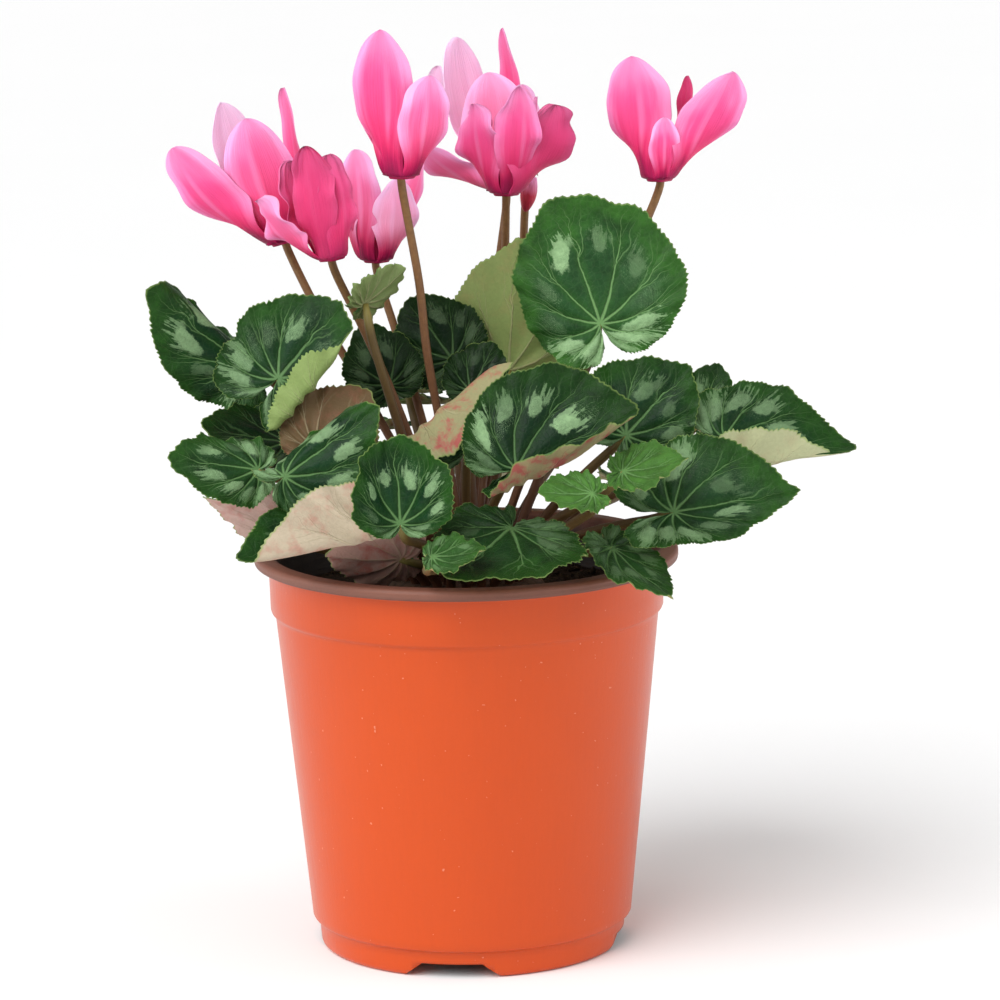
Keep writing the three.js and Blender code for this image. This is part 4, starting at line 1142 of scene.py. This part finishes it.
def prism(name, outline, start, end, turn):
    """A bar along +X with that outline in Y and Z, turned about +Z, for joining or cutting."""
    points = [(x, y, z) for x in (start, end) for y, z in outline]
    n = len(outline)
    faces = [tuple(range(n)), tuple(2 * n - 1 - i for i in range(n))]
    faces += [(i, n + i, n + (i + 1) % n, (i + 1) % n) for i in range(n)]
    mesh = bpy.data.meshes.new(name)
    mesh.from_pydata(np.array(points) * MM, [], faces)
    mesh.transform(Matrix.Rotation(math.radians(turn), 4, "Z"))
    face_outward(mesh)
    return placed(name, mesh)


def drum(name, radius, sides, place, turn):
    """An upright round bar that stands out along a direction, for trimming or cutting."""
    ring = [2 * math.pi * k / sides for k in range(sides)]
    outline = [(radius * math.cos(a), radius * math.sin(a)) for a in ring]
    bar = prism(name, outline, DRUM_LOW, DRUM_HIGH, 0)
    bar.data.transform(Matrix.Rotation(-math.pi / 2, 4, "Y"))
    bar.data.transform(Matrix.Translation((place * MM, 0, 0)))
    bar.data.transform(Matrix.Rotation(math.radians(turn), 4, "Z"))
    return bar


def combined(piece, tool, operation):
    """The piece joined with the tool, cut by it or trimmed to it."""
    change = piece.modifiers.new("change", "BOOLEAN")
    change.operation = operation
    change.solver = "EXACT"
    change.object = tool
    bpy.context.view_layer.update()
    depsgraph = bpy.context.evaluated_depsgraph_get()
    mesh = bpy.data.meshes.new_from_object(piece.evaluated_get(depsgraph))
    piece.modifiers.clear()
    old = piece.data
    piece.data = mesh
    bpy.data.meshes.remove(old)
    bpy.data.objects.remove(tool)


def channel_outline(grow):
    low, high = CHANNEL_LOW + 0.8 * grow, CHANNEL_TOP + 0.8 * grow
    base = WALL / 2 if grow else -1.0
    slope = (low - high) / CHANNEL_HEIGHT
    wide, top = low - slope * base, CHANNEL_HEIGHT + grow
    return [(-wide, base), (wide, base), (high, top), (-high, top)]


def paint_pot(settings):
    """Thin smooth plastic, a little dusty, with faint drag lines from handling."""
    constants = {"Specular IOR Level": 0.25, "Coat Weight": 0.2, "Coat Roughness": 0.12}
    paint = Paint("pot_plastic", constants)
    spot = paint.place()
    broad = paint.noise(spot, 0.016, 2.0)
    grain = paint.noise(spot, 1.1, 4.0, 0.7)
    drag = paint.noise(paint.place((0.8, 0.8, 0.06)), 0.9, 3.0, 0.7)
    specks = paint.rise(paint.noise(spot, 0.75, 1.0), 0.76, 0.8)
    base = paint.blend(broad, settings.pot_colour, settings.pot_deep_colour)
    base = paint.shade(base, 0.93 + grain * 0.06 + drag * 0.08)
    base = paint.blend(specks * 0.25, base, settings.dust_colour)
    rough = 0.3 + drag * 0.14 + specks * 0.3
    height = grain * 0.3 + drag * 0.25 + broad * 2.0 + specks * 0.4
    return paint.finish(base, rough, height, 0.12 * MM)


def paint_lining(settings):
    """The dark inner layer that shows at the rim and inside."""
    paint = Paint("pot_lining", {"Specular IOR Level": 0.4})
    grain = paint.noise(paint.place(), 0.9, 4.0, 0.7)
    rings = paint.noise(paint.place((0.05, 0.05, 1.6)), 1.0, 2.0)
    up = paint.add("ShaderNodeSeparateXYZ", {}, {0: paint.place()}, 2)
    base = paint.blend(paint.rise(up, 107.0, 113.2), settings.inside_colour, settings.rim_colour)
    base = paint.shade(base, 0.75 + grain * 0.3 + rings * 0.25)
    return paint.finish(base, 0.42 + grain * 0.2, grain * 0.5 + rings * 0.6, 0.2 * MM)


def paint_compost(settings):
    paint = Paint("compost", {"Specular IOR Level": 0.2})
    spot = paint.place()
    crumbs = paint.cells(spot, 0.45)
    grain = paint.noise(spot, 0.8, 5.0, 0.75)
    base = paint.blend(paint.rise(grain, 0.35, 0.7), settings.compost_colour, settings.fibre_colour)
    # Darker along the edges of the crumbs: painted shade in the gaps between them.
    base = paint.shade(base, 0.5 + paint.rise(crumbs, 0.0, 0.25) * 0.6 + grain * 0.3)
    return paint.finish(base, 0.85 + grain * 0.12, crumbs * 1.5 + grain, 1.2 * MM)


def paint_tuber(settings):
    paint = Paint("tuber", {"Specular IOR Level": 0.25})
    spot = paint.place()
    bark = paint.noise(spot, 0.5, 5.0, 0.75)
    cracks = paint.cells(spot, 0.22)
    base = paint.blend(bark, settings.tuber_colour, settings.fibre_colour)
    # Darker along the cracks: painted shade in them.
    base = paint.shade(base, 0.55 + paint.rise(cracks, 0.0, 0.12) * 0.5 + bark * 0.2)
    return paint.finish(base, 0.75 + bark * 0.2, bark + cracks, 0.9 * MM)


# Settings.


def colour(name, description, default):
    return FloatVectorProperty(
        name=name, description=description, default=default, subtype="COLOR", size=3, min=0, max=1
    )


def length(name, description, default):
    return FloatProperty(
        name=name, description=description, default=default, unit="LENGTH", min=0.00005
    )


def angle(name, description, degrees):
    return FloatProperty(
        name=name, description=description, default=math.radians(degrees), subtype="ANGLE"
    )


def strength(name, description, default):
    return FloatProperty(name=name, description=description, default=default, min=0)


class PotSettings(bpy.types.PropertyGroup):
    pot_colour: colour("Pot", "Plastic of the pot", (0.565, 0.070, 0.005))
    pot_deep_colour: colour("Pot, deeper", "Deeper patches of the plastic", (0.505, 0.054, 0.003))
    rim_colour: colour("Rim", "Top of the rim", (0.195, 0.074, 0.048))
    inside_colour: colour("Inside", "Inside of the pot", (0.03, 0.02, 0.018))
    dust_colour: colour("Dust", "Pale specks on the plastic", (0.95, 0.6, 0.42))
    compost_colour: colour("Compost", "Dark crumbs", (0.016, 0.010, 0.007))
    fibre_colour: colour("Fibre", "Lighter fibres in the compost", (0.085, 0.05, 0.03))
    tuber_colour: colour("Tuber", "Corky skin of the tuber", (0.12, 0.07, 0.045))
    crumbs: IntProperty(
        name="Crumbs", description="Loose crumbs on the compost", default=260, min=0, max=600
    )


class LeafSettings(bpy.types.PropertyGroup):
    blade_thickness: length("Blade", "Thickness of a blade", 0.55 * MM)
    tooth_depth: length("Teeth", "Depth of the teeth along a margin", 0.65 * MM)
    stalk_radius: length("Stalk", "Radius of a leaf's stalk", 1.3 * MM)
    centre_colour: colour("Centre", "Upper side near the joint", (0.0065, 0.029, 0.0105))
    margin_colour: colour("Outer part", "Upper side towards the margin", (0.013, 0.053, 0.007))
    lime_colour: colour("Young leaf", "Upper side of a young leaf", (0.062, 0.165, 0.030))
    silver_colour: colour("Silver", "Patches between the veins", (0.34, 0.54, 0.27))
    vein_colour: colour("Veins", "Veins on the upper side", (0.20, 0.38, 0.14))
    edge_colour: colour("Margin", "Thin pale margin", (0.22, 0.32, 0.09))
    under_vein_colour: colour("Veins below", "Veins on the underside", (0.50, 0.44, 0.27))
    flush_colour: colour("Flush", "Pink blots on the underside", (0.38, 0.095, 0.080))
    # The leaf stalks' own dark brown, made darker still near the tuber and near the blade: painted
    # shade for stalks amid the foliage.
    stalk_low_colour: colour("Stalk, low", "Leaf stalk near the tuber", (0.095, 0.036, 0.018))
    stalk_high_colour: colour("Stalk, high", "Leaf stalk near the blade", (0.095, 0.060, 0.019))
    stalk_tip_colour: colour("Stalk, joint", "Leaf stalk at the joint", (0.22, 0.185, 0.05))


class BloomSettings(bpy.types.PropertyGroup):
    petal_thickness: length("Petal", "Thickness of a petal", 0.5 * MM)
    stalk_radius: length("Stalk", "Radius of a flower's stalk", 1.15 * MM)
    petal_colour: colour("Petal", "Upper half of a petal", (0.90, 0.095, 0.310))
    middle_colour: colour("Petal, middle", "Petal below its middle", (0.86, 0.056, 0.215))
    low_colour: colour("Petal, low", "Lower quarter of a petal", (0.70, 0.020, 0.125))
    throat_colour: colour("Throat", "Petal's foot", (0.42, 0.003, 0.075))
    mouth_colour: colour("Mouth", "Ring round the mouth", (0.24, 0.002, 0.052))
    edge_colour: colour("Edge", "Pale edges of the petals", (0.96, 0.42, 0.76))
    pale_colour: colour("Pale", "Petals of a paler colour", (0.99, 0.74, 0.97))
    deep_colour: colour("Deep", "Petals of a deeper colour", (0.60, 0.032, 0.135))
    stalk_low_colour: colour("Stalk, low", "Flower stalk near the tuber", (0.15, 0.065, 0.03))
    stalk_high_colour: colour("Stalk, high", "Flower stalk higher up", (0.27, 0.155, 0.048))
    stalk_tip_colour: colour("Stalk, hook", "Flower stalk at the hook", (0.34, 0.215, 0.075))
    calyx_colour: colour("Calyx", "Sepals", (0.13, 0.10, 0.035))
    bud_colour: colour("Bud", "Closed bud", (0.55, 0.02, 0.06))
    bud_tip_colour: colour("Bud tip", "Tip of the bud", (0.30, 0.01, 0.03))


class StageSettings(bpy.types.PropertyGroup):
    floor_colour: colour("Floor", "Plain floor", (0.95, 0.95, 0.95))
    distance: length("Distance", "From the camera to the pot's middle", 1.4)
    elevation: angle("Elevation", "Camera's height angle", 13.8)
    roll: angle("Roll", "Camera's turn about its own line", 1.0)
    key_spread: angle("Key spread", "How wide the key light seems", 50.0)
    key_strength: strength("Key light", "Strength in watts for each square metre", 2.7)
    fill_strength: strength("Fill light", "Strength in watts for each square metre", 0.45)
    side_strength: strength("Side lights", "Power of each soft box in watts", 2.0)
    sky_strength: strength("Surroundings", "Strength of the even light", 0.43)


# Operators.


class CYCLAMEN_OT_pot(bpy.types.Operator):
    """Makes the pot with its rim, ledge, foot ring, channels and drain holes"""

    bl_idname = "cyclamen.pot"
    bl_label = "Pot"

    def execute(self, context):
        settings = context.scene.cyclamen_pot
        shape = Shape()
        lathe(shape, POT_PROFILE, POT_SIDES, 0)
        pot = shape.make("pot_shell", [paint_pot(settings), paint_lining(settings)], ["pot"])
        turns = [CHANNEL_TURN + 360 / CHANNELS * i for i in range(CHANNELS)]
        for turn in turns:
            roof = prism("roof", channel_outline(WALL), CHANNEL_START - WALL, CHANNEL_END, turn)
            combined(roof, drum("core", ROOF_REACH, POT_SIDES, 0, CORE_TURN), "INTERSECT")
            combined(pot, roof, "UNION")
        for turn in turns:
            space = prism("space", channel_outline(0), CHANNEL_START, CHANNEL_END, turn)
            combined(pot, space, "DIFFERENCE")
            drain = drum("drain", DRAIN_RADIUS, DRAIN_SIDES, DRAIN_PLACE, turn)
            combined(pot, drain, "DIFFERENCE")
        inner = []
        for face in pot.data.polygons:
            x, y, z = face.center / MM
            r = math.hypot(x, y)
            inner.append(1 if z > RIM_START or (z > 1.0 and r < middle_of_wall(z)) else 0)
        pot.data.polygons.foreach_set("material_index", inner)
        pot.data.update()
        return {"FINISHED"}


class CYCLAMEN_OT_compost(bpy.types.Operator):
    """Makes the compost with its uneven crumbly top"""

    bl_idname = "cyclamen.compost"
    bl_label = "Compost"

    def execute(self, context):
        settings = context.scene.cyclamen_pot
        draw = np.random.default_rng(COMPOST_SEED)

        def lumpy(points):
            high = points[:, 2] > COMPOST_LEVEL - 0.5
            x, y = points[high, 0], points[high, 1]
            lumps = np.zeros(high.sum())
            for _ in range(LUMPS):
                kx, ky, phase = draw.normal(0, 0.55), draw.normal(0, 0.55), draw.uniform(0, 6.3)
                lumps += np.sin(kx * x + ky * y + phase) / LUMPS**0.5
            points[high, 2] += LUMP_HEIGHT * lumps
            return points

        shape = Shape()
        top = [(53 - 1.5 * i, COMPOST_LEVEL) for i in range(1, COMPOST_STEPS)]
        lathe(shape, [*COMPOST_SIDE, *top, (0, COMPOST_LEVEL)], 120, 0, move=lumpy)
        for _ in range(settings.crumbs):
            turn, r = draw.uniform(0, 2 * math.pi), draw.uniform(*CRUMB_REACH)
            size = draw.uniform(*CRUMB_SIZES)
            height = COMPOST_LEVEL + 0.3 + 0.3 * size
            centre = np.array([r * math.cos(turn), r * math.sin(turn), height])
            build_crumb(shape, centre, size, draw)
        shape.make("compost_fill", [paint_compost(settings)], ["compost"])
        return {"FINISHED"}


def build_crumb(shape, centre, size, draw):
    """An uneven lump with twenty faces."""
    ball = bmesh.new()
    bmesh.ops.create_icosphere(ball, subdivisions=1, radius=1)
    points = np.array([v.co for v in ball.verts])
    faces = [tuple(v.index for v in f.verts) for f in ball.faces]
    ball.free()
    points = points * draw.uniform(0.6, 1.25, (len(points), 1)) * draw.uniform(0.6, 1.3, 3)
    shape.add(centre + points * size, faces)


class CYCLAMEN_OT_tuber(bpy.types.Operator):
    """Makes the corky tuber that the stalks grow from"""

    bl_idname = "cyclamen.tuber"
    bl_label = "Tuber"

    def execute(self, context):
        settings = context.scene.cyclamen_pot

        def gnarled(r, z, turns):
            return r * (0.985 + 0.012 * np.sin(7 * turns + z) + 0.008 * np.sin(17 * turns - 0.7 * z))

        shape = Shape()
        lathe(shape, TUBER_PROFILE, 72, 0, wobble=gnarled)
        shape.make("tuber_body", [paint_tuber(settings)], ["tuber"])
        return {"FINISHED"}


class CYCLAMEN_OT_leaves(bpy.types.Operator):
    """Makes each leaf: a toothed heart-shaped blade with its veins, and the stalk that holds it"""

    bl_idname = "cyclamen.leaves"
    bl_label = "Leaves"

    def execute(self, context):
        settings = context.scene.cyclamen_leaves
        stalk = paint_stalk("leaf_stalk", settings)
        paints = [paint_leaf_top(settings), paint_leaf_under(settings), stalk]
        for leaf in LEAVES:
            shape = Shape()
            build_blade(shape, leaf, settings)
            build_leaf_stalk(shape, leaf, settings)
            shape.make("cyclamen_leaf_" + leaf.name, paints, ["leaf_" + leaf.name])
        return {"FINISHED"}


class CYCLAMEN_OT_blooms(bpy.types.Operator):
    """Makes each bloom: five turned-back petals round a short tube with a dark mouth"""

    bl_idname = "cyclamen.blooms"
    bl_label = "Blooms"

    def execute(self, context):
        settings = context.scene.cyclamen_blooms
        paints = [paint_petal(settings), paint_mouth(settings)]
        for bloom in BLOOMS:
            shape = Shape()
            for number in range(len(bloom.petals)):
                build_petal(shape, bloom, number, settings)
            build_corolla(shape, bloom)
            shape.make("petals_of_" + bloom.name, paints, [bloom.name])
        return {"FINISHED"}


class CYCLAMEN_OT_flower_stalks(bpy.types.Operator):
    """Makes the flower stalks, hooked over at the top, with a calyx at the end of each"""

    bl_idname = "cyclamen.flower_stalks"
    bl_label = "Flower stalks"

    def execute(self, context):
        settings = context.scene.cyclamen_blooms
        stalk = paint_stalk("flower_stalk", settings)
        paints = [stalk, paint_calyx(settings)]
        for bloom in BLOOMS:
            shape = Shape()
            build_flower_stalk(shape, bloom, STEM_OUTSIDE, 0.0, BLOOM_CALYX, settings)
            shape.make("stem_of_" + bloom.name, paints, ["stalk_of_" + bloom.name])
        shape = Shape()
        build_flower_stalk(shape, BUD, BUD_OUTSIDE, BUD_LIFT, BUD_CALYX, settings)
        shape.make("stem_of_bud", paints, ["stalk_of_bud_centre"])
        return {"FINISHED"}


class CYCLAMEN_OT_bud(bpy.types.Operator):
    """Makes the closed bud with its furled petals"""

    bl_idname = "cyclamen.bud"
    bl_label = "Bud"

    def execute(self, context):
        settings = context.scene.cyclamen_blooms

        def furled(r, z, turns):
            return r * (0.955 + 0.045 * np.abs(np.cos(2.5 * (turns + 0.35 * z))))

        shape = Shape()
        lathe(shape, BUD_PROFILE, 40, 0, furled, BUD.place)
        shape.make("closed_bud", [paint_bud(settings)], ["bud_centre"])
        return {"FINISHED"}


class CYCLAMEN_OT_stage(bpy.types.Operator):
    """Makes the floor, the studio lights, the even surroundings and the camera"""

    bl_idname = "cyclamen.stage"
    bl_label = "Stage"

    def execute(self, context):
        settings = context.scene.cyclamen_stage
        build_floor(settings)
        build_lights(settings)
        build_camera(settings)
        context.scene.view_settings.view_transform = "Standard"
        return {"FINISHED"}


FLOOR_REACH = 6.0
LIT_PLACE = Vector((0, 0, 0.12))
SOFT_BOX = (0.5, 0.7)


def build_floor(settings):
    mesh = bpy.data.meshes.new("floor")
    signs = ((-1, -1), (1, -1), (1, 1), (-1, 1))
    mesh.from_pydata([(FLOOR_REACH * x, FLOOR_REACH * y, 0) for x, y in signs], [], [(0, 1, 2, 3)])
    placed("floor", mesh)
    paint = Paint("floor", {"Specular IOR Level": 0.1, "Roughness": 0.8})
    grain = paint.noise(paint.place(), 0.004, 2.0)
    base = paint.shade(tuple(settings.floor_colour), 0.99 + grain * 0.02)
    mesh.materials.append(paint.finish(base))


def build_lights(settings):
    world = bpy.data.worlds.new("studio")
    bpy.context.scene.world = world
    world.use_nodes = True
    sky = world.node_tree.nodes["Background"]
    sky.inputs["Color"].default_value = (1, 1, 1, 1)
    sky.inputs["Strength"].default_value = settings.sky_strength
    suns = (
        ("key", (-0.55, -0.75, 1.0), settings.key_strength),
        ("fill", (0.9, -0.8, 0.5), settings.fill_strength),
    )
    for name, place, power in suns:
        light = bpy.data.lights.new(name, "SUN")
        light.angle = settings.key_spread
        light.energy = power
        hang_light(light, name, place)
    for name, place in (("left", (-0.75, -0.1, 0.2)), ("right", (0.75, -0.1, 0.2))):
        light = bpy.data.lights.new(name, "AREA")
        light.shape = "RECTANGLE"
        light.size, light.size_y = SOFT_BOX
        light.energy = settings.side_strength
        hang_light(light, name, place)


def hang_light(light, name, place):
    lamp = placed(name, light)
    lamp.location = place
    lamp.rotation_euler = (LIT_PLACE - lamp.location).to_track_quat("-Z", "Y").to_euler()


FRAME_SIZE = 1000
FOCAL_PIXELS = 4905
SENSOR = 36.0
TARGET = Vector((0, 0, 0.057))
TARGET_PIXEL = (469.5, 743.0)


def build_camera(settings):
    """A camera at the photograph's place, aimed so that no shift is needed."""
    rise, roll = settings.elevation, settings.roll
    back = Vector((0, -math.cos(rise), math.sin(rise)))
    up = Vector((0, math.sin(rise), math.cos(rise)))
    right = Vector((1, 0, 0))
    image_right = math.cos(roll) * right - math.sin(roll) * up
    image_up = math.sin(roll) * right + math.cos(roll) * up
    aside = FRAME_SIZE / 2 - TARGET_PIXEL[0]
    down = FRAME_SIZE / 2 - TARGET_PIXEL[1]
    forward = (-back * FOCAL_PIXELS + image_right * aside - image_up * down).normalized()
    turn = (-back).rotation_difference(forward).to_matrix()
    axes = [turn @ v for v in (image_right, image_up, back)]
    camera = bpy.data.cameras.new("camera")
    camera.sensor_width = SENSOR
    camera.lens = SENSOR * FOCAL_PIXELS / FRAME_SIZE
    holder = placed("camera", camera)
    pose = Matrix.Identity(4)
    for column, axis in enumerate(axes):
        for row in range(3):
            pose[row][column] = axis[row]
    pose.translation = TARGET + back * settings.distance
    holder.matrix_world = pose
    bpy.context.scene.camera = holder


STEPS = ("pot", "compost", "tuber", "leaves", "blooms", "flower_stalks", "bud", "stage")


class CYCLAMEN_PT_panel(bpy.types.Panel):
    """Lists the pieces of the plant and the stage"""

    bl_idname = "CYCLAMEN_PT_panel"
    bl_label = "Potted cyclamen"
    bl_space_type = "VIEW_3D"
    bl_region_type = "UI"
    bl_category = "Cyclamen"

    def draw(self, context):
        for step_name in STEPS:
            self.layout.operator("cyclamen." + step_name)
        for group in (PotSettings, LeafSettings, BloomSettings, StageSettings):
            settings = getattr(context.scene, GROUPS[group])
            box = self.layout.box()
            for name in group.__annotations__:
                box.prop(settings, name)


GROUPS = {
    PotSettings: "cyclamen_pot",
    LeafSettings: "cyclamen_leaves",
    BloomSettings: "cyclamen_blooms",
    StageSettings: "cyclamen_stage",
}
CLASSES = (
    *GROUPS,
    CYCLAMEN_OT_pot,
    CYCLAMEN_OT_compost,
    CYCLAMEN_OT_tuber,
    CYCLAMEN_OT_leaves,
    CYCLAMEN_OT_blooms,
    CYCLAMEN_OT_flower_stalks,
    CYCLAMEN_OT_bud,
    CYCLAMEN_OT_stage,
    CYCLAMEN_PT_panel,
)


def register():
    for cls in CLASSES:
        bpy.utils.register_class(cls)
    for group, name in GROUPS.items():
        setattr(bpy.types.Scene, name, PointerProperty(type=group))


def unregister():
    for name in GROUPS.values():
        delattr(bpy.types.Scene, name)
    for cls in reversed(CLASSES):
        bpy.utils.unregister_class(cls)


def main():
    register()
    for step_name in STEPS:
        getattr(bpy.ops.cyclamen, step_name)()
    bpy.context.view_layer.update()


if __name__ == "__main__":
    main()
